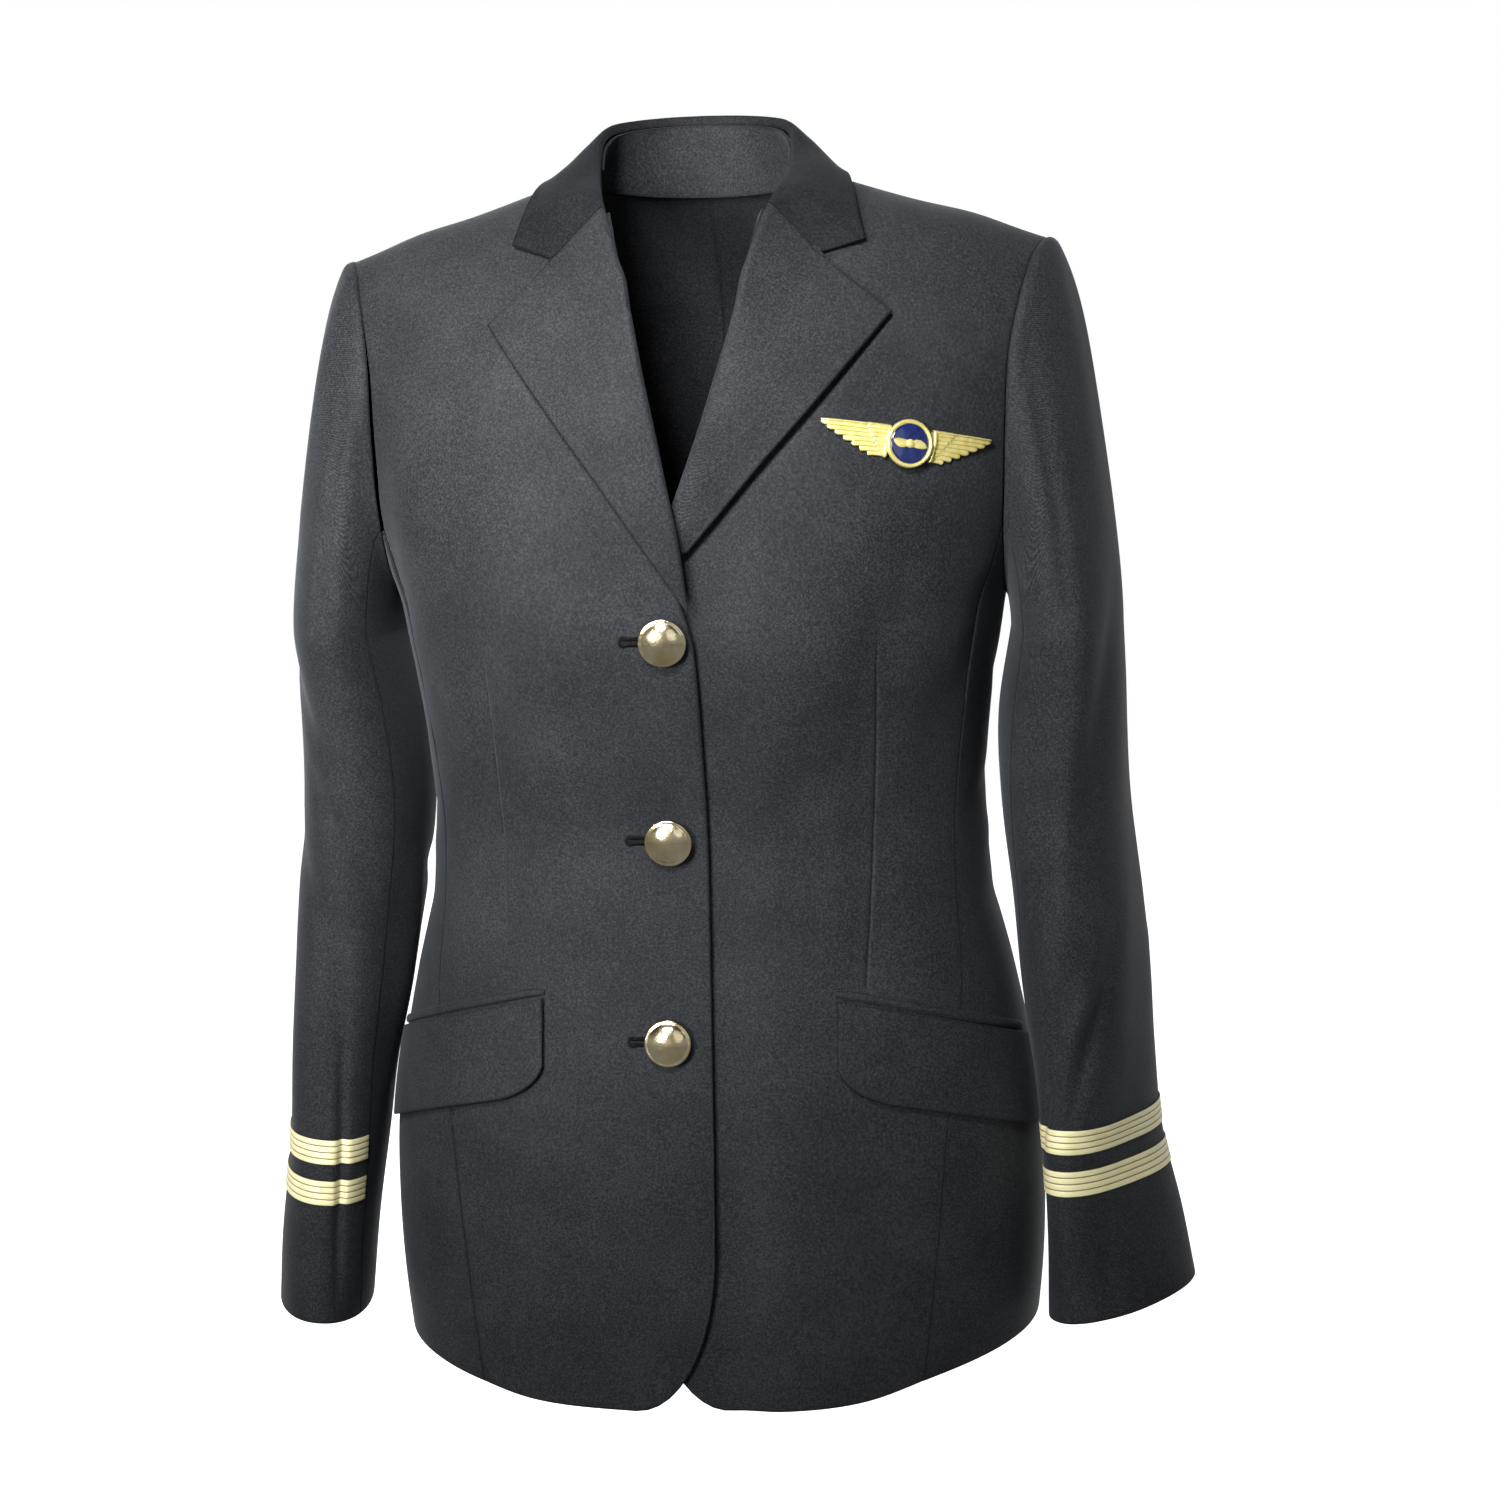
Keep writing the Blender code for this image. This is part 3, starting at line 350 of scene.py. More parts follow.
def front_in_x(side, z):
    return smooth(FRONT_EDGE, 1 if side == RIGHT else 2, z)


def slope_share(v):
    return smooth(UPPER_ROWS, 2, np.clip((v - 1) * 10, 0, 10))


def under_lift(side, x, z):
    """The left front lies one facing and one layer deeper where the right front laps over it."""
    if side == RIGHT:
        return np.zeros(np.shape(x))
    fade = soft_step(np.clip((48 - x) / 26, 0, 1))
    high = np.clip((-120 - z) / 45, 0, 1)
    return -4.4 * fade * high


def roll_lift(side, x, z):
    """The front stands a little off the body beside the roll line."""
    above = np.clip((z + 225) / 60, 0, 1) * np.clip((15 - z) / 40, 0, 1)
    near = bell(x - front_in_x(side, z), 26.0)
    lapped = 0.0 if side == RIGHT else 0.8 * np.clip((-120 - z) / 45, 0, 1)
    return 3.0 * above * near * (1 - lapped)


def end_x(side, angle, z):
    return side * smooth(SECTIONS, 1, z) * np.abs(np.sin(angle)) ** (2 / SQUARENESS)


def ridge(side, x):
    """Shoulder line of a front, level from the neck inwards."""
    return shoulder_z(side * np.maximum(np.abs(x), NECK_HALF_WIDTH))


def front_panel(side):
    """u runs from the front edge to the side seam and armhole, v from the hem up to the shoulder seam."""

    def point(u, v):
        end_z, end_angle = panel_end(side, v, False)
        out_x = end_x(side, end_angle, end_z)
        share = slope_share(v)
        upper_in = end_z + share * (ridge(side, NECK_HALF_WIDTH) - ridge(side, out_x))
        corner_top = HEM_FRONT_Z + CORNER["tall"]
        in_z = np.where(v < 1, mix(corner_top, CHEST_Z, v), upper_in)
        setback = ROLL_SETBACK * np.clip((in_z + 235) / 25, 0, 1) * np.clip(-in_z / 20, 0, 1)
        in_x = front_in_x(side, in_z) + side * setback
        # rows near the hem follow the rounded corner
        turn = np.clip(u / 0.3, 0, 1) * np.pi / 2
        beyond = np.clip((u - 0.3) / 0.7, 0, 1)
        hem_x = in_x + side * CORNER["wide"] * (1 - np.cos(turn))
        low_z = hem_z(side, np.degrees(beyond * end_angle))
        low_z = low_z + (seam_hem_z(side, False) - hem_z(side, np.degrees(end_angle))) * beyond
        low_z = low_z + CORNER["tall"] * (1 - np.sin(turn))
        corner_angle = angle_at(in_x + side * CORNER["wide"], HEM_FRONT_Z)
        hem_angle = np.where(u < 0.3, angle_at(hem_x, low_z), mix(corner_angle, side * end_angle, beyond))
        level_angle = mix(angle_at(in_x, in_z), side * end_angle, u)
        angle = mix(level_angle, hem_angle, np.clip(1 - v, 0, 1) ** 1.5)
        z = np.where(v < 1, mix(low_z, CHEST_Z, v), in_z)
        for _ in range(ROUNDS):
            x = smooth(SECTIONS, 1, z) * power(np.sin(angle), 2 / SQUARENESS)
            z = np.where(v < 1, z, end_z + share * (ridge(side, x) - ridge(side, out_x)))
            z = np.minimum(z, shoulder_z(x) - SEAM_DROP)
        lift = under_lift(side, x, z) + roll_lift(side, x, z)
        return form(angle, z, lift)

    return point


def back_panel(side):
    """u runs from the centre back seam to the side seam and armhole, v from the hem up to the neck and shoulder."""

    def top_z(x):
        share = np.clip(np.abs(x) / NECK_HALF_WIDTH, 0, 1)
        neck = mix(NECK_BACK_Z, float(shoulder_z(side * NECK_HALF_WIDTH)), share**2)
        return np.where(np.abs(x) < NECK_HALF_WIDTH, neck, shoulder_z(x))

    def point(u, v):
        end_z, end_angle = panel_end(side, v, True)
        out_x = end_x(side, end_angle, end_z)
        angle = mix(np.pi * side, end_angle * side, u)
        low_z = hem_z(side, np.abs(np.degrees(angle)))
        low_z = low_z + (seam_hem_z(side, True) - hem_z(side, np.abs(np.degrees(end_angle)))) * u
        z = np.where(v < 1, mix(low_z, CHEST_Z, v), end_z)
        for _ in range(ROUNDS):
            x = smooth(SECTIONS, 1, z) * power(np.sin(angle), 2 / SQUARENESS)
            z = np.where(v < 1, z, end_z + slope_share(v) * (top_z(x) - top_z(out_x)))
            z = np.minimum(z, shoulder_z(x) - SEAM_DROP)
        return form(angle, z)

    return point


def side_panel(side):
    """u runs from the front side seam to the back one, v from the hem (0) over the chest (1) to the armhole (1.2)."""

    def point(u, v):
        loop = mix(ARMHOLE_SEAM, 360 - ARMHOLE_SEAM, u)
        signed = np.where(loop > 180, loop - 360, loop)
        top = np.clip((v - 1) / 0.2, 0, 1)
        ahead_hem, behind_hem = seam_hem_z(side, False), seam_hem_z(side, True)
        even = mix(SIDE_SEAMS[0][1], 180 - SIDE_SEAMS[0][2], u)
        low_z = hem_z(side, even)
        z = np.where(v < 1, mix(low_z, CHEST_Z, v), mix(CHEST_Z, armhole_z(side, signed), top))
        ahead_z = np.where(v < 1, mix(ahead_hem, CHEST_Z, v), z)
        behind_z = np.where(v < 1, mix(behind_hem, CHEST_Z, v), z)
        level = mix(smooth(SIDE_SEAMS, 1, ahead_z), 180 - smooth(SIDE_SEAMS, 2, behind_z), u)
        top_angle = np.degrees(armhole_angle(side, signed)) * side
        angle = mix(level, top_angle, top**2)
        return form(np.radians(angle) * side, z)

    return point


# ---------------------------------------------------------------- roll line, collar and stand
def lapel_roll_x(side, z):
    """The roll line, carried up past the neckline to the gorge seam."""
    seam = front_in_x(side, z)
    gorge = side * COLLAR[0][3] + COLLAR_SHIFT
    high = np.clip((z - GORGE_Z) / GORGE_TALL, 0, 1)
    return mix(np.where(z > GORGE_Z, front_in_x(side, GORGE_Z), seam), gorge, high)


def over_shoulder(side, x, degrees, lift):
    """A point on the cloth over the shoulder: 0 degrees on the chest, 90 on the shoulder line, 180 on the back."""

    def at(x, degrees):
        turn = np.radians(degrees)
        z = shoulder_z(x) - SHOULDER_ROUND * (1 - np.sin(turn))
        half = smooth(SECTIONS, 1, z)
        across = (1 - np.clip(np.abs(x) / half, 0, 1) ** SQUARENESS) ** (1 / SQUARENESS)
        depth = np.where(np.cos(turn) > 0, smooth(SECTIONS, 2, z), smooth(SECTIONS, 3, z))
        return np.stack(np.broadcast_arrays(x, -depth * across * np.cos(turn), z), -1)

    outward = np.cross(at(x + 0.1, degrees) - at(x - 0.1, degrees), at(x, degrees + 0.5) - at(x, degrees - 0.5))
    return at(x, degrees) + unit(outward) * lift


def collar_station(u):
    """Side, station number and the sideways shift along the collar; u is 0..16 from the right end to the left end."""
    side = np.where(u < CENTRE_BACK, RIGHT, LEFT)
    station = np.where(u < CENTRE_BACK, u, 2 * CENTRE_BACK - u)
    shift = COLLAR_SHIFT * np.clip(1 - station / 5, 0, 1)
    return side, station, shift


def roll_point(u):
    side, station, shift = collar_station(u)
    x = side * smooth(COLLAR, 3, station) + shift
    return np.stack([x, smooth(COLLAR, 4, station), smooth(COLLAR, 5, station)], -1)


def outer_point(u):
    side, station, shift = collar_station(u)
    x = side * smooth(COLLAR, 6, station) + shift
    return over_shoulder(side, x, smooth(COLLAR, 7, station), FALL_LIFT)


def seam_point(u):
    side, station, shift = collar_station(u)
    x = side * smooth(COLLAR, 1, station) + shift
    z = smooth(COLLAR, 2, station) + 1.6
    crest = shoulder_z(x)
    rise = np.clip((np.minimum(z, crest) - crest + SHOULDER_ROUND) / SHOULDER_ROUND, 0, 1)
    half = smooth(SECTIONS, 1, z)
    across = (1 - (np.abs(x) / half) ** SQUARENESS) ** (1 / SQUARENESS)
    depth = np.where(station < 3, -smooth(SECTIONS, 2, z), smooth(SECTIONS, 3, z))
    return np.stack([x, depth * across * np.sqrt(1 - rise**2), z], -1)


def level_away(u):
    """Level direction from the roll line towards the collar's outer edge."""
    away = outer_point(u) - roll_point(u)
    away[..., 2] = 0
    return unit(away)


def inner_roll(u):
    """Where the fall ends inside the roll and meets the stand."""
    return roll_point(u) - level_away(u) * 2.6 - np.array([0, 0, 5.0])


def collar_stand(u, v):
    """v runs from the neck seam up to the fall."""
    top = inner_roll(u) - np.array([0, 0, 1.2])
    return mix(seam_point(u), top, v[..., None])


# ---------------------------------------------------------------- sleeves
def sleeve_ring(side, z, degrees, lift=0.0):
    """A point of a sleeve section. degrees: 0 outwards, 90 to the front, 180 towards the body."""
    table = SLEEVES[side]
    outer, inner = smooth(table, 1, z), smooth(table, 2, z)
    deep, turn = smooth(table, 4, z), np.radians(smooth(table, 5, z))
    half = (outer - inner) / 2
    wide = np.sqrt((half**2 - (deep * np.sin(turn)) ** 2) / np.cos(turn) ** 2)
    angle = np.radians(degrees)
    out = (wide + lift) * power(np.cos(angle), 0.92)
    ahead = (deep + lift) * power(np.sin(angle), 0.92)
    x = (outer + inner) / 2 + out * np.cos(turn) - ahead * np.sin(turn)
    y = smooth(table, 3, z) - ahead * np.cos(turn) - out * np.sin(turn)
    tipped = z + smooth(table, 6, z) * (x - (outer + inner) / 2)
    return np.stack(np.broadcast_arrays(side * x, y, tipped), -1)


def ring_degrees(loop, v):
    """Section angle of a sleeve column: the seams drift towards the body from the armhole (v 0) to the cuff (v 2)."""
    seam = np.interp(v, (0, 1, 2), SLEEVE_SEAMS)
    over = loop * seam / ARMHOLE_SEAM
    under = 180 + (loop - 180) * (180 - seam) / (180 - ARMHOLE_SEAM)
    return np.where(np.abs(loop) <= ARMHOLE_SEAM, over, under)


def sleeve(side):
    """u is the armhole angle in degrees, v is 0..1 over the sleeve head and 1..2 down to the cuff."""

    def point(u, v):
        signed = np.where(u > 180, u - 360, u)
        start = armhole(side, signed) + np.array([side * CAP_CLEAR, 0, 0])
        end = sleeve_ring(side, np.full(np.shape(u), SLEEVE_TOP_Z), ring_degrees(u, 1.0))
        out = 0.5 * (1 + np.cos(np.radians(u)))
        leave = np.stack([side * CAP_OUT * (0.12 + 0.88 * out), -16 * np.sin(np.radians(u)), 28 * out - 22], -1)
        drop = start[..., 2] - SLEEVE_TOP_Z
        arrive = np.stack([0 * drop, 0 * drop, -0.75 * drop], -1)
        t = np.clip(v, 0, 1)[..., None]
        head = curve(start, leave, end, arrive, t)
        down = np.clip(v - 1, 0, 1)
        z = mix(SLEEVE_TOP_Z, SLEEVES[side][-1][0], down)
        arm = sleeve_ring(side, z, ring_degrees(u, 1 + down))
        return np.where(v[..., None] < 1, head, arm)

    return point


def band_z(side, number):
    """Height of the lower edge of a band of braid, number 0 is the one nearer the cuff."""
    return SLEEVES[side][-1][0] + BRAID["off_cuff"] + number * (BRAID["wide"] + BRAID["gap"])


# ---------------------------------------------------------------- pockets and badge
def pocket_line(side, u):
    """Body angle and height along the top of a pocket, u from its front end."""
    front = np.abs(angle_at(FLAP["x"], FLAP["front_z"]))
    angle = side * mix(front, np.radians(FLAP["side_deg"]), u)
    return angle, mix(FLAP["front_z"], FLAP["side_z"], u)


def badge_place(along, up, lift):
    """A point of the chest at a distance along and above the badge line."""
    xs = BADGE["x"] + np.linspace(-BADGE_REACH, BADGE_REACH, 241)
    line = on_front(xs, BADGE["z"] + BADGE["slope"] * (xs - BADGE["x"]))
    steps = np.linalg.norm(np.diff(line, axis=0), axis=1)
    lengths = np.concatenate([[0], np.cumsum(steps)])
    lengths = lengths - np.interp(BADGE["x"], xs, lengths)
    x = np.interp(along, lengths, xs)
    z = BADGE["z"] + BADGE["slope"] * (x - BADGE["x"]) + up
    return on_front(x - BADGE["slope"] * up, z, lift)


def frame_at(place, tiny=0.5):
    """Origin and axes of a small part that stands on the cloth: across, up and out."""
    origin = place(0.0, 0.0)
    across = place(tiny, 0.0) - place(-tiny, 0.0)
    up = place(0.0, tiny) - place(0.0, -tiny)
    across = unit(across)
    out = unit(np.cross(across, up))
    return origin, across, np.cross(out, across), out


# ---------------------------------------------------------------- fine cloth
EDGE_STEPS = np.array((0.0, 0.15, 0.4, 0.8, 1.3, 2.0, 3.2))  # distances from an edge where the mesh has columns
STEP = 3.2  # usual size of a mesh cell
# kind of edge: radius of its rounding, how far the outer face drops there, how far the inner face rises
FOLD = (1.2, 0.95, 0.95)
EDGE = (3.0, 1.5, 0.45)  # the lapped front edge
SEAM = (1.5, 0.42, 0.0)
HOLE = (1.8, 0.6, 0.0)
HEMMED = (SEAM, FOLD, SEAM)  # side seam, hem and upper seam of a body panel
PAINTED_SHADE_FREE, PAINTED_SHADE_SEWN, PAINTED_SHADE_WIDE = 0.92, 0.5, 1.05  # how dark the painted shade line is at free and sewn edges, and its width


def places(size, step=STEP):
    """Positions 0..1 along a length, close together near both ends."""
    ends = EDGE_STEPS / size
    count = max(3, int((size - 2 * EDGE_STEPS[-1]) / step))
    middle = np.linspace(ends[-1], 1 - ends[-1], count)
    return np.concatenate([ends[:-1], middle, 1 - ends[:-1][::-1]])


def lengths(grid, axis):
    steps = np.linalg.norm(np.diff(grid, axis=axis), axis=-1)
    start = np.zeros_like(np.take(steps, [0], axis))
    return np.concatenate([start, np.cumsum(steps, axis)], axis)


def rolled(distance, radius):
    """Quarter circle: 1 on the edge, 0 from the radius on."""
    near = 1 - np.clip(distance / radius, 0, 1)
    return 1 - np.sqrt(1 - near**2)


def sheet_grid(point, u, v, facing):
    """Points and outward normals of a patch over 2-D arrays of u and v."""
    tiny_u = 1e-4 * (u.max() - u.min())
    tiny_v = 1e-4 * (v.max() - v.min())
    along = point(np.minimum(u + tiny_u, u.max()), v) - point(np.maximum(u - tiny_u, u.min()), v)
    across = point(u, np.minimum(v + tiny_v, v.max())) - point(u, np.maximum(v - tiny_v, v.min()))
    normal = np.cross(along, across) * facing
    normal /= np.maximum(np.linalg.norm(normal, axis=-1, keepdims=True), 1e-12)
    return point(u, v), normal


def add_mesh(name, points, faces, material, uv=None, rim=None):
    mesh = bpy.data.meshes.new(name)
    points = np.asarray(points, float) * MM
    mesh.from_pydata(points.tolist(), [], [list(face) for face in faces])
    mesh.polygons.foreach_set("use_smooth", [True] * len(mesh.polygons))
    if uv is not None:
        layer = mesh.uv_layers.new(name="cut")
        loops = np.empty(len(mesh.loops), np.int32)
        mesh.loops.foreach_get("vertex_index", loops)
        layer.data.foreach_set("uv", (np.asarray(uv)[loops] * MM).ravel())
    # painted shade per point, which darkens the cloth along its edges and seams, goes into its own attribute
    if rim is not None:
        mesh.attributes.new("rim", "FLOAT", "POINT").data.foreach_set("value", np.asarray(rim, float).ravel())
    mesh.materials.append(material)
    mesh.update()
    made = bpy.data.objects.new(name, mesh)
    bpy.context.scene.collection.objects.link(made)
    return made


def settle(made, slot, *nodes):
    """Attaches a piece to the root, and hides the CAD nodes it stands for, if any. slot, what the piece is made of, is
    not used.
    """
    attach(made, "root")
    if nodes:
        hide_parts(*nodes)


def grid_faces(rows, columns, first=0, flip=False):
    """Quads between the points of a grid, row after row from the given first point."""
    corners = [first + i * columns + j for i in range(rows - 1) for j in range(columns - 1)]
    faces = [(at, at + columns, at + columns + 1, at + 1) for at in corners]
    return [face[::-1] for face in faces] if flip else faces


def shell_faces(rows, columns, facing):
    """Quads of a closed shell between two grids: outer, inner, then the four rims."""
    count = rows * columns
    r, c = np.meshgrid(np.arange(rows - 1), np.arange(columns - 1), indexing="ij")
    at = (r * columns + c).ravel()
    outer = np.stack([at, at + 1, at + columns + 1, at + columns], -1)
    inner = outer[:, ::-1] + count
    c = np.arange(columns - 1)
    low, high = c, (rows - 1) * columns + c
    r = np.arange(rows - 1)
    first, last = r * columns, r * columns + columns - 1
    rims = [
        np.stack([low, count + low, count + low + 1, low + 1], -1),
        np.stack([high, high + 1, count + high + 1, count + high], -1),
        np.stack([first, first + columns, count + first + columns, count + first], -1),
        np.stack([last, count + last, count + last + columns, last + columns], -1),
    ]
    faces = np.concatenate([outer, inner, *rims])
    return faces if facing > 0 else faces[:, ::-1]


def cloth(name, point, u, v, facing, edges, wall=WALL, relief=None, material=None, within=(), tilt=0.0, weave_v=None):
    """A cloth piece as a closed shell with rounded edges. edges are the kinds at u start, u end, v start and v end.

    relief gives the height of folds, within keeps the piece on one side of x = 0 or y = 0 (axis, sign), and tilt turns
    its weave in degrees.
    """
    outer, normal = sheet_grid(point, u, v, facing)
    if relief is not None:
        outer = outer + normal * relief(outer, u, v)[..., None]
    along, across = lengths(outer, 1), lengths(outer, 0)
    away = (along, along[:, -1:] - along, across, across[-1:] - across)
    drop, rise, rim = np.zeros((3, *u.shape))
    for distance, (radius, down, up) in zip(away, edges):
        # painted shade: a narrow dark line along each edge, darker at free edges than at seams
        rim = np.maximum(rim, (PAINTED_SHADE_FREE if up > 0.5 else PAINTED_SHADE_SEWN) * bell(distance, PAINTED_SHADE_WIDE))
        drop = np.maximum(drop, down * rolled(distance, radius))
        rise = np.maximum(rise, up * rolled(distance, radius))
    top = outer - normal * drop[..., None]
    under = outer - normal * (wall - rise)[..., None]
    for axis, sign in within:
        for grid in (top, under):
            grid[..., axis] = sign * np.maximum(sign * grid[..., axis], 0.0)
    middle = along - 0.5 * along[:, -1:]
    turn = np.radians(tilt)
    sine, cosine = np.sin(turn), np.cos(turn)
    weave = np.stack([middle * cosine + across * sine, across * cosine - middle * sine], -1)
    if weave_v is not None:
        weave[..., 1] = weave_v
    points = np.concatenate([top.reshape(-1, 3), under.reshape(-1, 3)])
    uv = np.concatenate([weave.reshape(-1, 2)] * 2)
    made = add_mesh(name, points, shell_faces(*u.shape, facing), material or CLOTH, uv, np.stack([rim, rim]))
    family, node = name.split("_", 1)
    settle(made, "braid" if family == "trim" else "cloth", node)


def off_line(a, b, a1, b1, a2, b2):
    """Distance from the short line between two points, and the share of the way along it."""
    span_a, span_b = a2 - a1, b2 - b1
    share = np.clip(((a - a1) * span_a + (b - b1) * span_b) / (span_a**2 + span_b**2), 0, 1)
    return np.hypot(a - a1 - share * span_a, b - b1 - share * span_b), share


def soft_folds(a, b, table):
    """Sum of soft troughs and ridges along short lines: a, b of the start, a, b of the end, half width, height."""
    total = np.zeros(np.shape(a))
    for *ends, wide, high in table:
        distance, share = off_line(a, b, *ends)
        fade = np.sin(np.pi * (0.12 + 0.76 * share)) ** 0.8
        total = total + high * fade * bell(distance, wide)
    return total


# ---------------------------------------------------------------- folds and darts
# start x, z; end x, z; half width; height of each fold of a front
FRONT_FOLDS = {
    RIGHT: (
        (-158, -60, -163, -150, 13, -2.2),
        (-163, -150, -160, -240, 9, -1.8),
        (-140, -110, -146, -200, 14, 1.2),
        (-98, -240, -122, -170, 16, -1.0),
        (-150, -262, -128, -240, 7, -0.9),
        (-150, -300, -118, -285, 8, -0.7),
        (-140, -340, -60, -352, 12, -0.7),
        (-128, -395, -40, -372, 13, 0.6),
        (-60, -500, -48, -640, 26, 0.9),
        (-110, -505, -120, -630, 20, -1.0),
    ),
    LEFT: (
        (150, -52, 152, -120, 14, -1.6),
        (130, -178, 98, -262, 15, -2.4),
        (160, -215, 146, -268, 6, -1.5),
        (140, -262, 126, -318, 10, -1.2),
        (60, -262, 30, -340, 18, 0.7),
        (128, -330, 52, -352, 12, -0.7),
        (120, -398, 50, -370, 12, 0.6),
        (66, -505, 60, -640, 24, 0.9),
        (105, -500, 118, -628, 20, -1.1),
    ),
}
# start x, z; end x, z, of the sewn line of each front dart
DARTS = {RIGHT: ((-104, -232), (-101, -398)), LEFT: ((107, -226), (95, -420))}
DART_SHARE = 0.55  # mesh column that follows the dart
BESIDE_DART = (0.3, 0.6, 1.0, 1.5, 2.2, 3, 4.2, 6)  # distances from the dart of the mesh columns beside it
FRONT_WIDE = 175.0  # usual width of a front, for the mesh
BACK_FOLDS = (
    (60, -90, 120, -150, 20, 1.2),
    (150, -100, 158, -190, 12, -1.8),
    (40, -330, 120, -300, 12, -1.2),
    (30, -362, 130, -345, 10, 0.9),
    (45, -392, 140, -372, 12, -1.0),
    (70, -480, 90, -640, 22, 1.0),
    (20, -520, 26, -640, 14, -0.8),
)
SIDE_WIDE = 110.0  # usual width of a side panel, for its folds and mesh
SIDE_FOLDS = (
    (30, -250, 80, -275, 8, -1.0),
    (20, -335, 75, -320, 8, -1.0),
    (25, -360, 90, -350, 8, 0.8),
    (30, -385, 85, -392, 9, -0.9),
    (60, -470, 66, -620, 18, 0.9),
)
# folds of the sleeves, round the sleeve in degrees (0 outwards, 90 to the front, 270 to the back) and down in height
SLEEVE_BACK_FOLDS = (
    (250, -250, 300, -320, 10, -1.4),
    (255, -345, 325, -372, 9, -1.6),
    (262, -398, 320, -418, 9, 1.2),
    (190, -300, 240, -340, 8, -1.2),
    (186, -372, 236, -384, 8, -1.2),
)
SLEEVE_FOLDS = {
    RIGHT: (
        (70, -95, 96, -215, 9, -1.4),
        (28, -60, 36, -170, 12, 1.0),
        (18, -232, 76, -318, 10, -1.6),
        (34, -262, 98, -352, 9, 1.1),
        (60, -318, 118, -372, 8, -1.5),
        (26, -352, 92, -404, 10, -1.0),
        (48, -408, 52, -520, 16, 1.0),
        (92, -400, 100, -470, 11, -1.2),
        (104, -462, 110, -606, 5, -1.8),
        (165, -380, 170, -480, 16, 2.6),
        (0, -330, 8, -560, 22, -0.8),
        (270, -430, 300, -560, 16, -1.2),
        *SLEEVE_BACK_FOLDS,
    ),
    LEFT: (
        (64, -80, 84, -210, 10, -1.5),
        (20, -50, 30, -180, 12, 1.0),
        (26, -215, 66, -330, 13, -1.6),
        (70, -220, 92, -420, 12, 1.6),
        (52, -420, 84, -470, 10, 1.8),
        (40, -400, 74, -500, 10, -1.9),
        (96, -470, 112, -520, 7, -1.2),
        (104, -395, 92, -440, 7, 1.0),
        (0, -300, 12, -560, 20, -0.9),
        (30, -560, 44, -606, 12, -1.4),
        (80, -560, 84, -606, 12, 1.2),
        (165, -520, 172, -606, 16, 2.4),
        *SLEEVE_BACK_FOLDS,
    ),
}


def dart_x(side, z):
    (x1, z1), (x2, z2) = DARTS[side]
    return x1 + (x2 - x1) * (z - z1) / (z2 - z1)


def padded(x, z):
    """The shoulder rounds over its pad and comes down to the armhole seam."""
    return 1.9 * np.clip((z + 130) / 90, 0, 1) * bell(np.abs(x) - 150, 22.0)


def beside_lapel(side, x, z):
    """The front sinks a little along the outer edge of its lapel."""
    column = 1 if side == RIGHT else 3
    corners = [row[column : column + 2] for row in LAPEL_EDGE]
    nearest = np.min([off_line(x, z, *one, *other)[0] for one, other in zip(corners, corners[1:])], axis=0)
    return -1.5 * bell(nearest, 4.5) * np.clip((z + 215) / 20, 0, 1)


def front_relief(side):
    (_, top_z), (_, low_z) = DARTS[side]

    def relief(p, u, v):
        x, z = p[..., 0], p[..., 2]
        total = soft_folds(x, z, FRONT_FOLDS[side])
        away = (x - dart_x(side, z)) * side
        shown = np.clip((top_z - z) / 30, 0, 1) * np.clip((z - low_z) / 12 + 0.6, 0, 1)
        shown = soft_step(shown)
        pressed = -0.75 * bell(away, 0.75) + 0.28 * bell(away + 3.0, 2.4) - 1.3 * bell(away, 13.0)
        # the chest rounds out a little above the dart's end
        bloom = 0.8 * bell(away, 16.0) * bell(z - top_z - 14, 16.0)
        ripple = 0.25 * np.sin(z / 37.0 + 0.8 * side) * np.sin(x / 29.0 + z / 90.0)
        return total + shown * pressed + bloom + ripple + padded(x, z) + beside_lapel(side, x, z)

    return relief


def back_relief(side):
    def relief(p, u, v):
        x, z = p[..., 0], p[..., 2]
        waist = bell(z + 350, 90.0) * bell(x, 26.0)
        ripple = 0.25 * np.sin(z / 41.0) * np.sin(x / 31.0 + z / 80.0)
        return soft_folds(np.abs(x), z, BACK_FOLDS) - 1.4 * waist + ripple + padded(x, z)

    return relief


def side_relief(side):
    def relief(p, u, v):
        return soft_folds(u * SIDE_WIDE, p[..., 2], SIDE_FOLDS) * np.clip(np.minimum(u, 1 - u) / 0.1, 0, 1)

    return relief


ARC, FOLD_DEPTH = 0.96, 1.8  # millimetres of cloth to a degree round the sleeve; all its folds are deepened by this


def sleeve_height(side, v):
    """Height by which the sleeve's folds are placed."""
    below = mix(SLEEVE_TOP_Z, SLEEVES[side][-1][0], np.clip(v - 1, 0, 1))
    return np.where(v < 1, mix(-40.0, SLEEVE_TOP_Z, np.clip(v, 0, 1)), below)


def sleeve_relief(side):
    def relief(p, u, v):
        z = sleeve_height(side, v)
        degrees = np.mod(ring_degrees(u, np.clip(v, 1, 2)), 360)
        folds = [(a * ARC, b, c * ARC, d, wide, FOLD_DEPTH * high) for a, b, c, d, wide, high in SLEEVE_FOLDS[side]]
        total = sum(soft_folds((degrees + turn) * ARC, z, folds) for turn in (-360, 0, 360))
        signed = np.where(u > 180, u - 360, u)
        # the head is eased in: a low roll beside the armhole seam, strongest over the shoulder
        over = np.clip(np.cos(np.radians(signed)) + 0.15, 0, 1)
        roll = over * (1.0 * bell(v - 0.075, 0.06) + 1.7 * bell(v - 0.3, 0.2))
        ease = 0.18 * over * np.sin(np.radians(signed) * 15) * bell(v - 0.1, 0.09)
        return total + roll + ease

    return relief


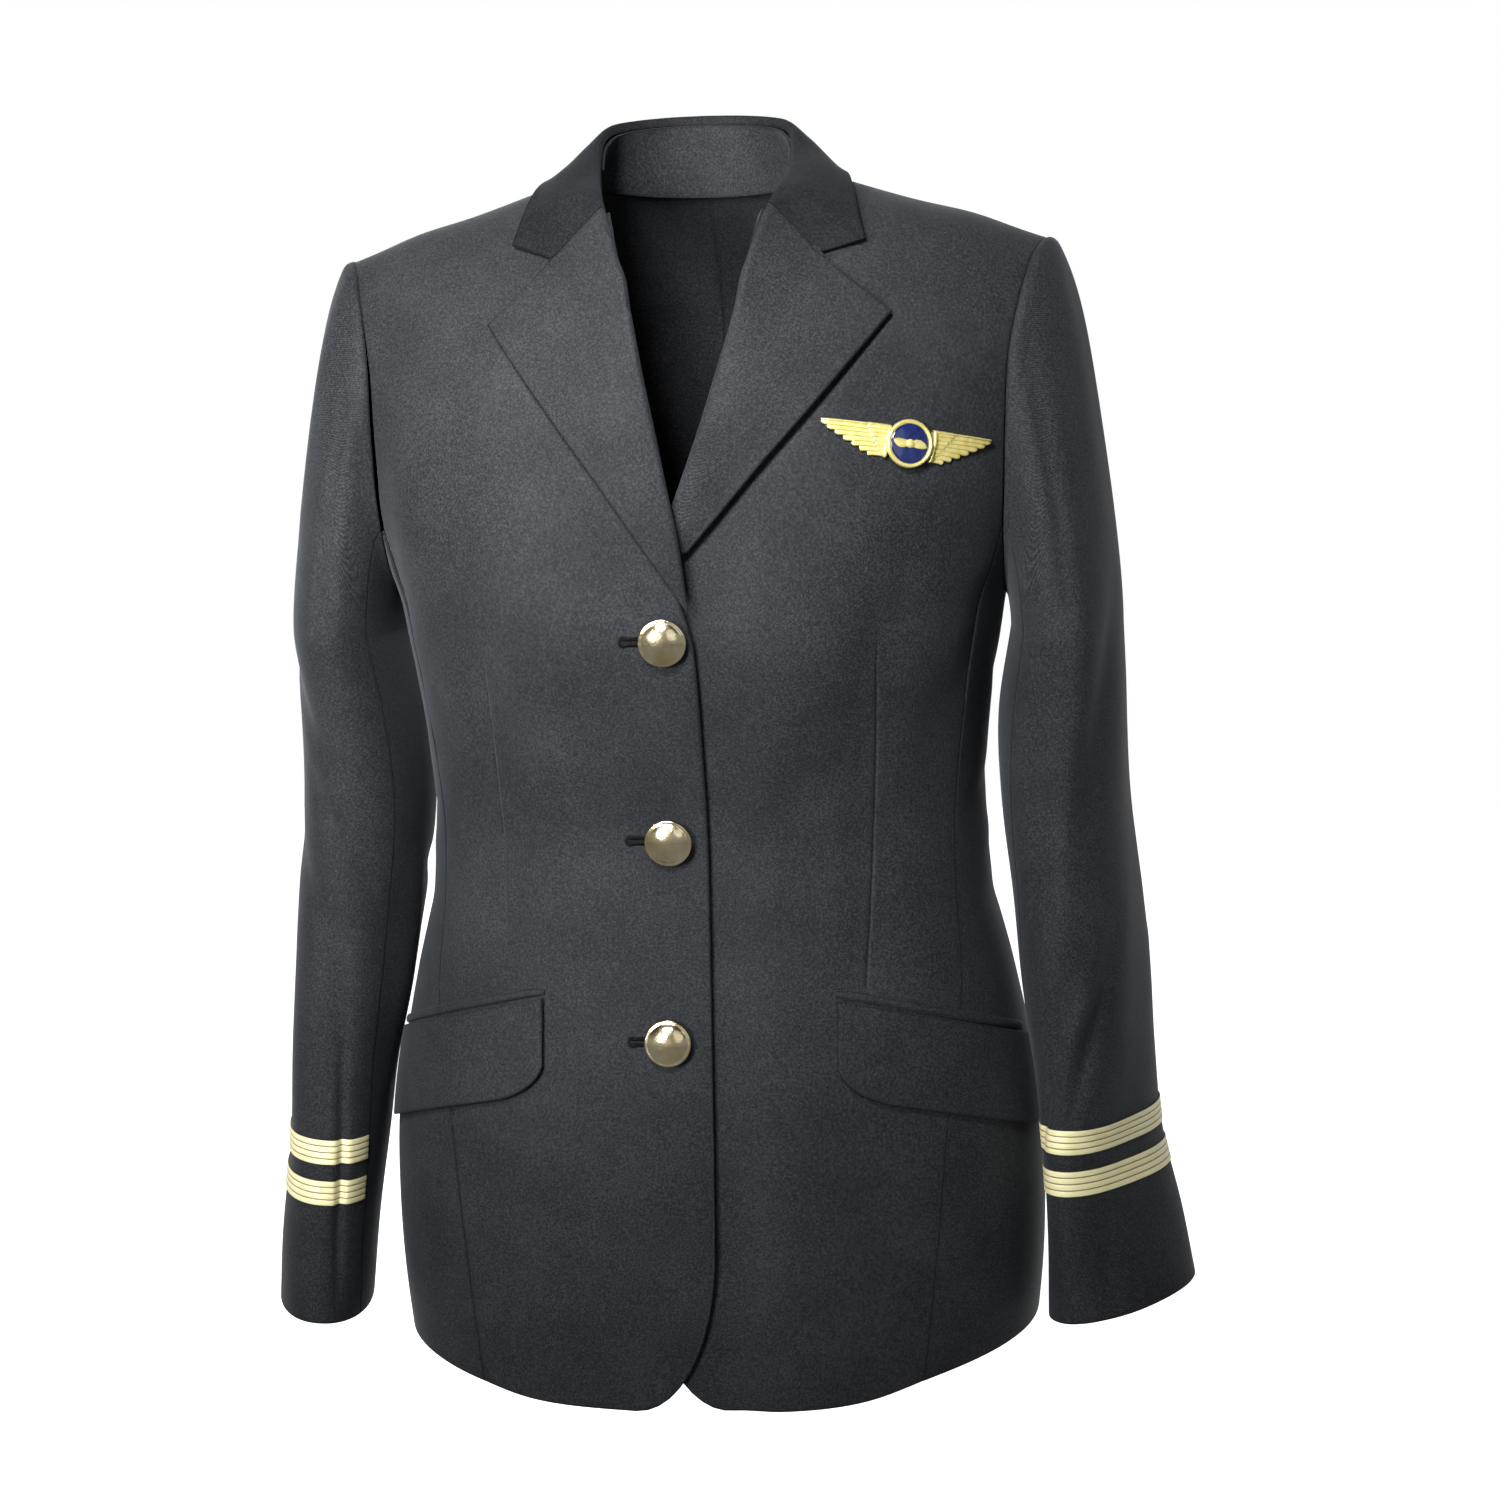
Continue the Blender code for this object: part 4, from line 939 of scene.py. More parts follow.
def warped(side, s, v):
    """u of the front so that mesh column DART_SHARE follows the dart."""
    base = front_panel(side)
    tries = np.linspace(0.02, 0.98, 40)
    column = np.empty(len(v))
    for row, height in enumerate(v):
        p = base(tries, np.full(tries.shape, height))
        across = p[:, 0] * side
        goal = dart_x(side, np.clip(p[:, 2], -440, -215)) * side
        column[row] = np.interp(0, across - goal, tries)
    s = np.broadcast_to(s, (len(v), len(s)))
    column = column[:, None]
    low = s / DART_SHARE * column
    high = column + (s - DART_SHARE) / (1 - DART_SHARE) * (1 - column)
    return np.where(s < DART_SHARE, low, high)


def build_body():
    for side, name in SIDES:
        tall = places(640.0, 3.6) * 2
        around = places(FRONT_WIDE)
        beside = np.array(BESIDE_DART)
        dart = DART_SHARE + np.concatenate([-beside[::-1], [0], beside]) / FRONT_WIDE
        around = around[np.abs(around - DART_SHARE) > (BESIDE_DART[-1] + 1) / FRONT_WIDE]
        around = np.sort(np.concatenate([around, dart]))
        v = np.repeat(tall[:, None], len(around), 1)
        u = warped(side, around, tall)
        relief, ahead, behind = front_relief(side), [(1, -1)], [(0, side), (1, 1)]
        cloth(f"cloth_front_{name}", front_panel(side), u, v, side, (EDGE, *HEMMED), relief=relief, within=ahead)
        u, v = np.meshgrid(places(165.0), tall)
        edges = (SEAM, *HEMMED)
        cloth(f"cloth_back_{name}", back_panel(side), u, v, -side, edges, relief=back_relief(side), within=behind)
        u, v = np.meshgrid(places(SIDE_WIDE), places(440.0, 3.6) * 1.2)
        cloth(f"cloth_side_{name}", side_panel(side), u, v, side, edges, relief=side_relief(side))


def sleeve_fine(side):
    """As the sleeve, set right against the armhole seam."""
    base = sleeve(side)

    def point(u, v):
        close = (CAP_CLEAR - 0.05) * np.clip(1.25 - v / 0.14, 0, 1) ** 1.5
        return base(u, v) - np.stack([side * close, 0 * close, 0 * close], -1)

    return point


def build_sleeves():
    for side, name in SIDES:
        down = places(640.0, 3.8) * 2
        over = -ARMHOLE_SEAM + places(250.0, 3.4) * 2 * ARMHOLE_SEAM
        under = ARMHOLE_SEAM + places(115.0, 3.4) * (360 - 2 * ARMHOLE_SEAM)
        edges = (SEAM, SEAM, HOLE, FOLD)
        for part, columns in (("top", over), ("under", under)):
            u, v = np.meshgrid(columns, down)
            piece = f"cloth_sleeve_{part}_{name}"
            cloth(piece, sleeve_fine(side), u, v, side, edges, relief=sleeve_relief(side))
        for number in (0, 1):
            build_braid(side, name, number)


# ---------------------------------------------------------------- fine lapels and collar
ROLL_RADIUS = 2.5  # of the lapel's rolled edge


def lapel_fine(side):
    """The lapel: u is -1..0 round the rolled edge from underneath, 0..1 over the blade, v 0..1 from the top down.

    Its top row lies along the collar's end.
    """
    x_column, z_column = (1, 2) if side == RIGHT else (3, 4)
    share = NOTCH["share"]

    def base(u, v):
        flat = np.clip(u, 0, 1)
        roll_z = mix(LAPEL_TOP_Z, LAPEL_END_Z[side], v)
        roll_x = lapel_roll_x(side, roll_z)
        edge_x, edge_z = smooth(LAPEL_EDGE, x_column, v), smooth(LAPEL_EDGE, z_column, v)
        top = np.clip(1 - v / 0.2, 0, 1)
        bend = top * np.minimum(flat / share, (1 - flat) / (1 - share))
        notch_x = side * NOTCH["x"] + COLLAR_SHIFT
        x = mix(roll_x, edge_x, flat) + bend * (notch_x - mix(roll_x, edge_x, share))
        z = mix(roll_z, edge_z, flat) + bend * (NOTCH["z"] - mix(roll_z, edge_z, share)) - 0.6 * top
        end = np.clip((1 - v) / 0.14, 0, 1)
        radius = ROLL_RADIUS * (0.45 + 0.55 * end)
        turn = np.radians(90 + np.clip(u, -1, 0) * 172)
        x = x + side * radius * (1 - np.cos(turn)) * np.clip(1 - flat / 0.5, 0, 1) * end
        round_drop = radius * (1 - np.sin(turn))
        # the blade bows up between roll and edge, and its edge comes down near the chest
        bow = (1.0 * np.sin(np.pi * np.clip(flat * 1.15, 0, 1)) - 0.2 * flat**3) * (0.2 + 0.8 * end)
        lift = under_lift(side, x, z) + roll_lift(side, x, z) + LAPEL_LIFT * (0.72 + 0.28 * end) + bow - round_drop
        return on_front(x, z, lift)

    def point(u, v):
        first = np.zeros(np.shape(u))
        reach = np.clip(u / share, -1, 1)
        level = np.where(reach < 0, 0.15 * (1 + reach), mix(0.15, 0.6, reach))
        gorge = collar_fine(np.full(np.shape(u), 0.0 if side == RIGHT else 16.0), level) - np.array([0, 0, 0.2])
        tied = gorge - base(np.minimum(u, share), first)
        tied = tied * np.clip((1 - u) / (1 - share), 0, 1)[..., None]
        fade = np.clip(1 - v / 0.5, 0, 1)[..., None]
        return base(u, v) + tied * soft_step(fade)

    return point


def through(knots, steps, v):
    """Smooth curve through points: steps[k] is reached at v = knots[k]."""
    knots = np.array(knots)
    stack = np.stack(steps)
    slopes = np.gradient(stack, knots, axis=0)
    k = np.clip(np.searchsorted(knots, v, side="right") - 1, 0, len(knots) - 2)
    width = (knots[k + 1] - knots[k])[..., None]
    t = (v - knots[k])[..., None] / width
    rows = np.indices(np.shape(v))
    here, after = (k, *rows), (k + 1, *rows)
    return curve(stack[here], slopes[here] * width, stack[after], slopes[after] * width, t)


def collar_fine(u, v):
    """As the collar's fall, with a rounded roll and a softly bowed fall."""
    side, station, shift = collar_station(u)
    roll, outer, inside = roll_point(u), outer_point(u), inner_roll(u)
    notch = on_front(side * NOTCH["x"] + shift, np.full(np.shape(u), NOTCH["z"]), FALL_LIFT + 0.6)
    away = level_away(u)
    first = np.clip(1 - station, 0, 1)[..., None]
    up = np.array([0, 0, 1.0])
    low = mix(mix(roll, outer, 0.25) + away * 2.4 + up * 1.6, mix(roll, notch, 0.5), first)
    middle = mix(mix(roll, outer, 0.55) + away * 2.6 + up * 1.2, notch, first)
    high = mix(mix(roll, outer, 0.8) + away * 1.4, mix(notch, outer, 0.5), first)
    knots = (0.0, 0.15, 0.35, 0.6, 0.8, 1.0)
    steps = (inside, roll, low, middle, high, outer)
    soft = through(knots, steps, v)
    straight = np.zeros(np.shape(roll))
    for k in range(5):
        t = np.clip((v - knots[k]) / (knots[k + 1] - knots[k]), 0, 1)[..., None]
        here = ((v >= knots[k]) & ((v < knots[k + 1]) | (k == 4)))[..., None]
        straight = np.where(here, mix(steps[k], steps[k + 1], t), straight)
    return mix(soft, straight, np.clip(1.6 - 2 * station, 0, 1)[..., None])


def build_neck():
    arc = np.array((-1, -0.88, -0.76, -0.64, -0.52, -0.4, -0.28, -0.16, -0.07))
    for side, name in SIDES:
        across = places(75.0, 2.6)
        across = np.concatenate([arc, across[across > 0.02]])
        u, v = np.meshgrid(across, places(225.0, 2.8) * 0.985)
        edges = (SEAM, FOLD, SEAM, FOLD)
        cloth(f"cloth_lapel_{name}", lapel_fine(side), u, v, -side, edges, wall=1.9, tilt=-24 * side)
    u, v = np.meshgrid(places(330.0, 2.6) * 2 * CENTRE_BACK, places(58.0, 1.9))
    # the collar takes the copy of the cloth that is painted darker, as painted shade
    cloth("cloth_collar", collar_fine, u, v, 1, (SEAM, SEAM, SEAM, FOLD), wall=1.9, tilt=40, material=CLOTH_PAINTED_DARKER)
    u, v = np.meshgrid(2.91 + places(230.0) * 10.18, -0.07 + 1.10 * places(30.0, 2.5))
    cloth("cloth_collar_stand", collar_stand, u, v, -1, (FOLD, FOLD, SEAM, SEAM), wall=1.6)


# ---------------------------------------------------------------- pockets
FLAP_CORNER = (0.16, 16.0)  # share of the width and height of the rounded front corner
FLAP_SWING = -1.2  # degrees by which the front corner leans
# mesh columns beside the rounded corner, as shares of the width
FLAP_NEAR = (0.0, 0.002, 0.006, 0.012, 0.02, 0.03, 0.042, 0.056, 0.072, 0.09, 0.11, 0.135, 0.16, 0.19)
WELT_EDGE = (1.0, 0.5, 0.0)


def flap_fine(side):
    """The flap hangs from the welt; its lower edge stands off a little and its front corner is rounded."""

    def point(u, v):
        angle, top = pocket_line(side, u)
        near = np.clip(1 - u / FLAP_CORNER[0], 0, 1)
        tall = FLAP["tall"] - FLAP_CORNER[1] * (1 - np.sqrt(np.clip(1 - near**2, 0, 1))) - 1.0
        swing = side * np.radians(FLAP_SWING) * v * np.clip(1 - u / 0.5, 0, 1)
        bow = 0.7 * np.sin(np.pi * v) * np.sin(np.pi * np.clip(u, 0, 1))
        return form(angle + swing, top - 1.0 - v * tall, FLAP_LIFT + WALL + 0.9 * v + bow)

    return point


def welt_fine(side):
    """A narrow doubled edge over the flap, fading out at both ends."""

    def point(u, v):
        angle, top = pocket_line(side, u)
        ends = np.sqrt(np.clip(np.minimum(u / 0.06, (1 - u) / 0.04), 0, 1))
        plump = 0.7 * np.sin(np.pi * v) * ends
        z = top + (0.1 + 0.9 * v) * WELT_TALL * (0.55 + 0.45 * ends) - 0.4
        return form(angle, z, 0.35 + FLAP_LIFT * ends + plump)

    return point


def build_pockets():
    for side, name in SIDES:
        rest = mix(FLAP_NEAR[-1], 1, places(95.0, 2.6)[3:])
        u, v = np.meshgrid(np.concatenate([FLAP_NEAR, rest]), places(52.0, 2.4))
        cloth(f"cloth_flap_{name}", flap_fine(side), u, v, -side, (FOLD, SEAM, SEAM, FOLD), wall=1.8)
        u, v = np.meshgrid(places(115.0), np.linspace(0.02, 0.98, 13))
        cloth(f"cloth_welt_{name}", welt_fine(side), u, v, side, (WELT_EDGE,) * 4, wall=1.2)


# ---------------------------------------------------------------- braid
RIBS, RIB_RISE = 4, 0.45
BRAID_EDGE = (0.5, 0.4, 0.3)
BRAID_END = ARMHOLE_SEAM * (1 - 1.2 / 125.0)  # the braid stops 1.2 mm short of the sleeve seams


def build_braid(side, name, number):
    low = band_z(side, number)
    shape = sleeve_relief(side)

    def point(u, v):
        z = low + v * BRAID["wide"]
        down = (z - SLEEVE_TOP_Z) / (SLEEVES[side][-1][0] - SLEEVE_TOP_Z)
        degrees = ring_degrees(u, 1 + down)
        base = sleeve_ring(side, z, degrees, 0.9)
        inside = sleeve_ring(side, z, degrees, 0.0)
        across = v * RIBS
        rib = np.sqrt(np.clip(1 - (2 * (across - np.floor(np.clip(across, 0, RIBS - 1e-6))) - 1) ** 2, 0, 1)) ** 0.7
        return base + unit(base - inside) * (shape(base, u, 1 + down) + RIB_RISE * (rib - 1))[..., None]

    us = np.linspace(-BRAID_END, BRAID_END, 190)
    over_rib = 0.5 - 0.5 * np.cos(np.linspace(0, np.pi, 13))
    vs = np.unique(np.round([(k + share) / RIBS for k in range(RIBS) for share in over_rib], 9))
    u, v = np.meshgrid(us, vs)
    piece, edges, rows = f"trim_braid_{name}_{number + 1}", (BRAID_EDGE,) * 4, v * BRAID["wide"]
    cloth(piece, point, u, v, -side, edges, wall=0.8, material=BRAID_GOLD, weave_v=rows)


# ---------------------------------------------------------------- buttons and buttonholes
# radius and height over the cloth of the button's section: shank, back, rolled rim and dome
BUTTON_SECTION = (
    (0, 0.7), (2.6, 0.7), (3.0, 1.1), (3.0, 2.6), (4.2, 2.9), (9.5, 3.1), (11.6, 3.3), (12.3, 3.6),
    (12.6, 4.1), (12.5, 4.6), (12.1, 4.95), (11.6, 5.05), (11.2, 5.0), (10.95, 5.05), (10.5, 5.35), (9.6, 5.95),
    (8.2, 6.7), (6.5, 7.35), (4.6, 7.85), (2.5, 8.18), (1.0, 8.28), (0, 8.3),
)


def turned_points(frame_axes, section, steps):
    origin, across, up, out = frame_axes
    a = np.linspace(0, 2 * np.pi, steps, endpoint=False)
    ring = across * np.cos(a)[:, None] + up * np.sin(a)[:, None]
    points = [np.array([origin + out * section[0][1]])]
    for radius, height in section[1:-1]:
        points.append(origin + ring * radius + out * height)
    points.append(np.array([origin + out * section[-1][1]]))
    faces = []
    rings, last = len(section) - 2, 1 + steps * (len(section) - 2)
    for k in range(steps):
        after = (k + 1) % steps
        faces.append((0, 1 + after, 1 + k))
        for r in range(rings - 1):
            low, high = 1 + r * steps, 1 + (r + 1) * steps
            faces.append((low + k, low + after, high + after, high + k))
        top = 1 + (rings - 1) * steps
        faces.append((top + k, top + after, last))
    return np.concatenate(points), faces


def build_buttons():
    for number, (x, z, rise) in enumerate(BUTTONS, 1):
        axes = frame_at(lambda a, b, x=x, z=z, rise=rise: on_front(x + a, z + b, rise))
        points, faces = turned_points(axes, BUTTON_SECTION, 72)
        settle(add_mesh(f"trim_button_{number}", points, faces, BRASS), "brass", f"button_{number}")
        build_buttonhole(number, x, z)


HOLE_LONG, HOLE_HALF = 25.0, 2.5  # length and half width of the worked buttonhole
STITCH_PITCH = 0.66
EYELET_RAYS = 15  # stitches round its eyelet end
SLIT_STEPS = 30  # points along the slit
# eyelet end of each buttonhole: distance from the button's centre
HOLE_START = (-23.0, -23.5, -22.0)


def build_buttonhole(number, x, z):
    """Worked buttonhole: close stitches all round a slit, whose dark strip is painted shade, in one mesh."""
    start = HOLE_START[number - 1]
    relief = front_relief(RIGHT)

    def on_cloth(a, b, lift):
        p = on_front(np.asarray(x + a, float), np.asarray(z + b, float), 0.0)
        return on_front(np.asarray(x + a, float), np.asarray(z + b, float), lift + relief(p, None, None))

    points, faces = [], []

    def bar(a, b, da, db, long, wide, high):
        """A short raised thread from (a, b) along (da, db)."""
        base = len(points)
        for along, lift in ((0.0, 0.05), (0.2, high), (0.8, high), (1.0, 0.05)):
            pa, pb = a + da * long * along, b + db * long * along
            for across, share in ((-0.5, 0.1), (-0.25, 0.85), (0.0, 1.0), (0.25, 0.85), (0.5, 0.1)):
                points.append(on_cloth(pa - db * wide * across, pb + da * wide * across, 0.1 + lift * share))
        corners = [base + i * 5 + j for i in range(3) for j in range(4)]
        faces.extend((at, at + 1, at + 6, at + 5) for at in corners)

    count = int(HOLE_LONG / STITCH_PITCH)
    for k in range(count):
        a = start + 2.2 + k * STITCH_PITCH
        wobble = 0.12 * np.sin(k * 2.7)
        bar(a, 0.35, 0.04, 1.0, HOLE_HALF - 0.2 + wobble, 0.56, 0.75)
        bar(a, -0.35, 0.04, -1.0, HOLE_HALF - 0.2 - wobble, 0.56, 0.75)
    for k in range(EYELET_RAYS):
        turn = np.radians(40 + k * 20)
        away_a, away_b = np.cos(turn), np.sin(turn)
        bar(start + 2.4 + 1.1 * away_a, 1.1 * away_b, away_a, away_b, HOLE_HALF - 0.2, 0.6, 0.75)
    # the slit: a strip in the near-black thread colour, painted shade for the gap under it
    base = len(points)
    for a in np.linspace(start + 1.0, start + HOLE_LONG, SLIT_STEPS):
        for b in (-0.45, 0.45):
            points.append(on_cloth(a, b, 0.16))
    faces += grid_faces(SLIT_STEPS, 2, base)
    settle(add_mesh(f"trim_buttonhole_{number}", points, faces, THREAD_AND_SLIT_SHADE), "cloth")


# ---------------------------------------------------------------- badge
# tip distance, height at the root, height at the tip, width of each feather, from the top one down
FEATHERS = (
    (47.2, 5.9, 5.2, 3.6),
    (44.0, 4.0, 3.2, 3.6),
    (39.4, 2.0, 1.1, 3.5),
    (34.6, -0.1, -1.1, 3.5),
    (29.8, -2.2, -3.1, 3.4),
    (25.2, -4.3, -5.1, 3.3),
    (20.8, -6.3, -6.9, 3.0),
)
# radius and height over the cloth of the turned parts of the badge
RIM_SECTION = (
    (0, 1.2), (11.4, 1.2), (12.2, 1.7), (12.45, 2.6), (12.45, 3.6), (12.3, 4.3), (11.95, 4.75), (11.5, 4.9),
    (11.1, 4.8), (10.85, 4.55), (10.75, 4.5), (10.6, 4.6), (10.45, 4.55), (10.35, 4.2), (10.3, 3.6), (0, 3.6),
)
ENAMEL_SECTION = ((0, 3.7), (9.9, 3.7), (10.2, 3.9), (10.1, 4.15), (9.0, 4.32), (6.0, 4.52), (3.0, 4.62), (0, 4.65))
HUB_SECTION = ((0, 4.4), (2.3, 4.4), (2.3, 5.0), (2.0, 5.4), (1.5, 5.65), (0.8, 5.85), (0, 5.9))
FEATHER_ROOT = 12.0
BADGE_BASE = 1.0  # height of the edges of the feathers over the cloth


def leaf(points, faces, line, wide, low, high, slope=0.0, steps=26, side_steps=8):
    """A long blade with rounded sides and tip; slope lowers its upper side under the blade above."""
    base = len(points)
    for i in range(steps + 1):
        t = (i / steps) ** 0.9
        a, b = line(t)
        a2, b2 = line(min(t + 0.01, 1.0)) if t < 0.995 else (2 * a - line(0.985)[0], 2 * b - line(0.985)[1])
        run = np.hypot(a2 - a, b2 - b) + 1e-9
        na, nb = -(b2 - b) / run, (a2 - a) / run
        if nb < 0:
            na, nb = -na, -nb
        tip = np.sqrt(np.clip(1 - max(0.0, (t - 0.9) / 0.1) ** 2, 0.0, 1))
        for j in range(side_steps + 1):
            s = 2 * j / side_steps - 1
            half = 0.5 * wide * max(tip, 0.03)
            full = max(0.0, 1 - abs(s) ** 5) ** 0.5 * (0.5 + 0.5 * tip)
            lift = mix(low, high - slope * (s + 1) / 2, full)
            points.append(badge_place(a + na * half * s, b + nb * half * s, lift))
    faces += grid_faces(steps + 1, side_steps + 1, base, line(1.0)[0] <= line(0.0)[0])


def build_badge():
    points, faces = [], []
    for way in (-1, 1):
        for k, (tip, root_up, tip_up, wide) in enumerate(FEATHERS):
            top = 2.8 - 0.2 * k

            def line(t, tip=tip, root_up=root_up, tip_up=tip_up, way=way):
                return way * mix(FEATHER_ROOT, tip, t), mix(root_up, tip_up, t) + 0.35 * np.sin(np.pi * t)

            leaf(points, faces, line, wide, BADGE_BASE, top, 0.45)
            reach = mix(FEATHER_ROOT, tip, 0.34)

            def covert(t, reach=reach, root_up=root_up, tip_up=tip_up, way=way):
                return way * mix(FEATHER_ROOT - 0.5, reach, t), mix(root_up, tip_up, 0.34 * t) + 0.9

            leaf(points, faces, covert, wide * 0.95, BADGE_BASE, top + 0.3, 0.4, steps=14)

        def shoulder(t, way=way):
            return way * (FEATHER_ROOT + 0.9 * np.sin(np.pi * t)), mix(7.6, -8.0, t)

        leaf(points, faces, shoulder, 1.6, BADGE_BASE, 3.4, steps=18)

        def lead(t, way=way):
            return way * mix(FEATHER_ROOT, 47.4, t), mix(7.5, 6.3, t) + 0.35 * np.sin(np.pi * t)

        leaf(points, faces, lead, 1.0, BADGE_BASE, 3.3, steps=30)
    wings_piece = add_mesh("trim_badge_wings", points, faces, BADGE_GOLD)
    solid = wings_piece.modifiers.new("back", "SOLIDIFY")
    solid.thickness = 0.4 * MM
    solid.offset = -1
    settle(wings_piece, "brass", "badge_wings")
    axes = frame_at(lambda a, b: badge_place(a, b, 0.0))
    settle(add_mesh("trim_badge_disc", *turned_points(axes, RIM_SECTION, 96), BADGE_GOLD), "brass", "badge_disc")
    enamel = add_mesh("trim_badge_enamel", *turned_points(axes, ENAMEL_SECTION, 96), ENAMEL)
    settle(enamel, "enamel", "badge_enamel")
    build_propeller(axes)


PROPELLER_HALF, PROPELLER_TILT = 9.2, -6.0


def build_propeller(axes):
    """A plain two-blade propeller on the enamel."""
    origin, across, up, out = axes
    turn = np.radians(PROPELLER_TILT)
    ahead, aside = across * np.cos(turn) + up * np.sin(turn), up * np.cos(turn) - across * np.sin(turn)
    points, faces = [], []
    steps, half_steps = 24, 6
    for way in (-1, 1):
        base = len(points)
        for i in range(steps + 1):
            t = i / steps
            wide = 2.35 * np.sin(np.pi * np.clip(0.16 + 0.84 * t, 0, 1)) ** 0.55 + 0.02
            sweep = way * 0.5 * np.sin(np.pi * t)
            for j in range(half_steps + 1):
                s = 2 * j / half_steps - 1
                lift = 4.55 - 0.003 * (t * PROPELLER_HALF) ** 2 + 0.55 * np.sqrt(max(0, 1 - s * s)) + 0.12 * s * way
                along = way * mix(1.0, PROPELLER_HALF, t)
                points.append(origin + ahead * along + aside * (s * wide + sweep) + out * lift)
        faces += grid_faces(steps + 1, half_steps + 1, base, way < 0)
    hub_points, hub_faces = turned_points(axes, HUB_SECTION, 40)
    faces += [tuple(len(points) + i for i in face) for face in hub_faces]
    settle(add_mesh("trim_badge_propeller", [*points, *hub_points], faces, BADGE_GOLD), "brass")


# ---------------------------------------------------------------- materials
class Value:
    """A number that runs through a node tree; sums, differences and products of it are new nodes."""

    def __init__(self, paint, socket):
        self.paint, self.socket = paint, socket

    def __add__(self, other):
        return self.paint.math("ADD", self, other)

    def __sub__(self, other):
        return self.paint.math("SUBTRACT", self, other)

    def __rsub__(self, other):
        return self.paint.math("SUBTRACT", other, self)

    def __mul__(self, other):
        return self.paint.math("MULTIPLY", self, other)


class Paint:
    """The node tree of a material or world, with short ways to add nodes to it."""

    def __init__(self, owner):
        owner.use_nodes = True
        self.owner, self.nodes, self.links = owner, owner.node_tree.nodes, owner.node_tree.links

    def put(self, value, socket):
        if isinstance(value, Value):
            self.links.new(value.socket, socket)
        else:
            socket.default_value = value

    def node(self, kind, **inputs):
        made = self.nodes.new("ShaderNode" + kind)
        for name, value in inputs.items():
            self.put(value, made.inputs[name])
        return made

    def math(self, operation, *values):
        made = self.node("Math")
        made.operation = operation
        for value, socket in zip(values, made.inputs):
            self.put(value, socket)
        return Value(self, made.outputs[0])

    def wave(self, value, operation="SINE"):
        return self.math(operation, value)

    def place(self, output="Object"):
        return Value(self, self.node("TexCoord").outputs[output])

    def split(self, vector):
        made = self.node("SeparateXYZ", Vector=vector)
        return [Value(self, made.outputs[axis]) for axis in "XYZ"]

    def cut(self):
        """Where a point lies on the flat cut piece, across and along, in metres."""
        made = self.node("UVMap")
        made.uv_map = "cut"
        return self.split(Value(self, made.outputs["UV"]))[:2]

    def attribute(self, name):
        made = self.node("Attribute")
        made.attribute_name = name
        return Value(self, made.outputs["Fac"])

    def remap(self, value, span, soft=True):
        """span: from low, from high, to low, to high."""
        made = self.node("MapRange", Value=value)
        if soft:
            made.interpolation_type = "SMOOTHSTEP"
        for socket, number in zip(list(made.inputs)[1:5], span):
            socket.default_value = number
        return Value(self, made.outputs[0])

    def noise(self, vector, scale, detail=3.0, rough=0.55):
        made = self.node("TexNoise", Vector=vector, Scale=scale, Detail=detail, Roughness=rough)
        return Value(self, made.outputs["Fac"])

    def ramp(self, fac, stops):
        made = self.node("ValToRGB", Fac=fac)
        elements = made.color_ramp.elements
        while len(elements) < len(stops):
            elements.new(0.5)
        for element, (at, colour) in zip(elements, stops):
            element.position = at
            element.color = (*colour, 1)
        return Value(self, made.outputs["Color"])

    def bump(self, height, strength, distance, normal=None):
        made = self.node("Bump", Height=height, Strength=strength, Distance=distance)
        if normal is not None:
            self.put(normal, made.inputs["Normal"])
        return Value(self, made.outputs["Normal"])

    def shade(self, **inputs):
        """Settings of the surface, by their names with underscores for spaces."""
        shader = self.nodes["Principled BSDF"]
        for name, value in inputs.items():
            self.put(value, shader.inputs[name.replace("_", " ")])


TWILL_PITCH = 0.00085  # distance between twill lines, metres
CLOTH_TONES = (
    (0.35, (0.0050, 0.0060, 0.0078)),
    (0.50, (0.0152, 0.0166, 0.0190)),
    (0.65, (0.0350, 0.0364, 0.0392)),
)
BRAID_TONES = ((0.25, (0.74, 0.66, 0.32)), (0.5, (0.88, 0.82, 0.46)), (0.75, (0.95, 0.92, 0.64)))
# colour of the grooves between the ribs: painted shade
BRAID_GROOVE_SHADE = (0.20, 0.13, 0.06, 1)
WIRE_PITCH, WIRE_LEAN = 0.00058, 0.006  # wires of the braid: their distance, and how slowly they slant, metres
TWIST_PITCH, TWIST_LEAN = 0.0007, 0.0012


# shade below 1 makes a darker, duller copy of the cloth: painted shade
def cloth_material(name, shade=1.0, sheen=0.09):
    paint = Paint(bpy.data.materials.new(name))
    across, along = paint.cut()
    turn = 2 * np.pi / TWILL_PITCH
    twill = paint.wave(across * (turn * 0.72) + along * (turn * 0.69))
    yarn = paint.wave(along * (turn * 1.9))
    weave = twill * 0.5 + yarn * 0.22
    place = paint.place()
    fibres = paint.noise(place, 2600.0, 2.0)
    slubs = paint.noise(place, 900.0, 3.0, 0.7)
    clouds = paint.noise(place, 24.0, 4.0)
    tone = clouds * 0.22 + slubs * 0.95 - 0.10 + weave * 0.12
    colour = paint.ramp(tone, [(at, tuple(shade * part for part in rgb)) for at, rgb in CLOTH_TONES])
    # painted shade: the cloth is darkened in a narrow line along seams and edges
    colour_with_painted_shade = paint.node("VectorMath")
    colour_with_painted_shade.operation = "SCALE"
    paint.put(colour, colour_with_painted_shade.inputs[0])
    paint.put(1.0 - paint.attribute("rim"), colour_with_painted_shade.inputs["Scale"])
    height = weave * 0.8 + fibres * 0.6
    fine = paint.bump(height, 0.35, 0.00012)
    paint.shade(
        Base_Color=Value(paint, colour_with_painted_shade.outputs[0]),
        Roughness=slubs * 0.16 + 0.62,
        Specular_IOR_Level=0.18 * shade,
        Sheen_Weight=sheen,
        Sheen_Roughness=0.45,
        Sheen_Tint=(0.72, 0.78, 0.86, 1),
        Normal=paint.bump(paint.noise(place, 90.0), 0.25, 0.0006, fine),
    )
    return paint.owner


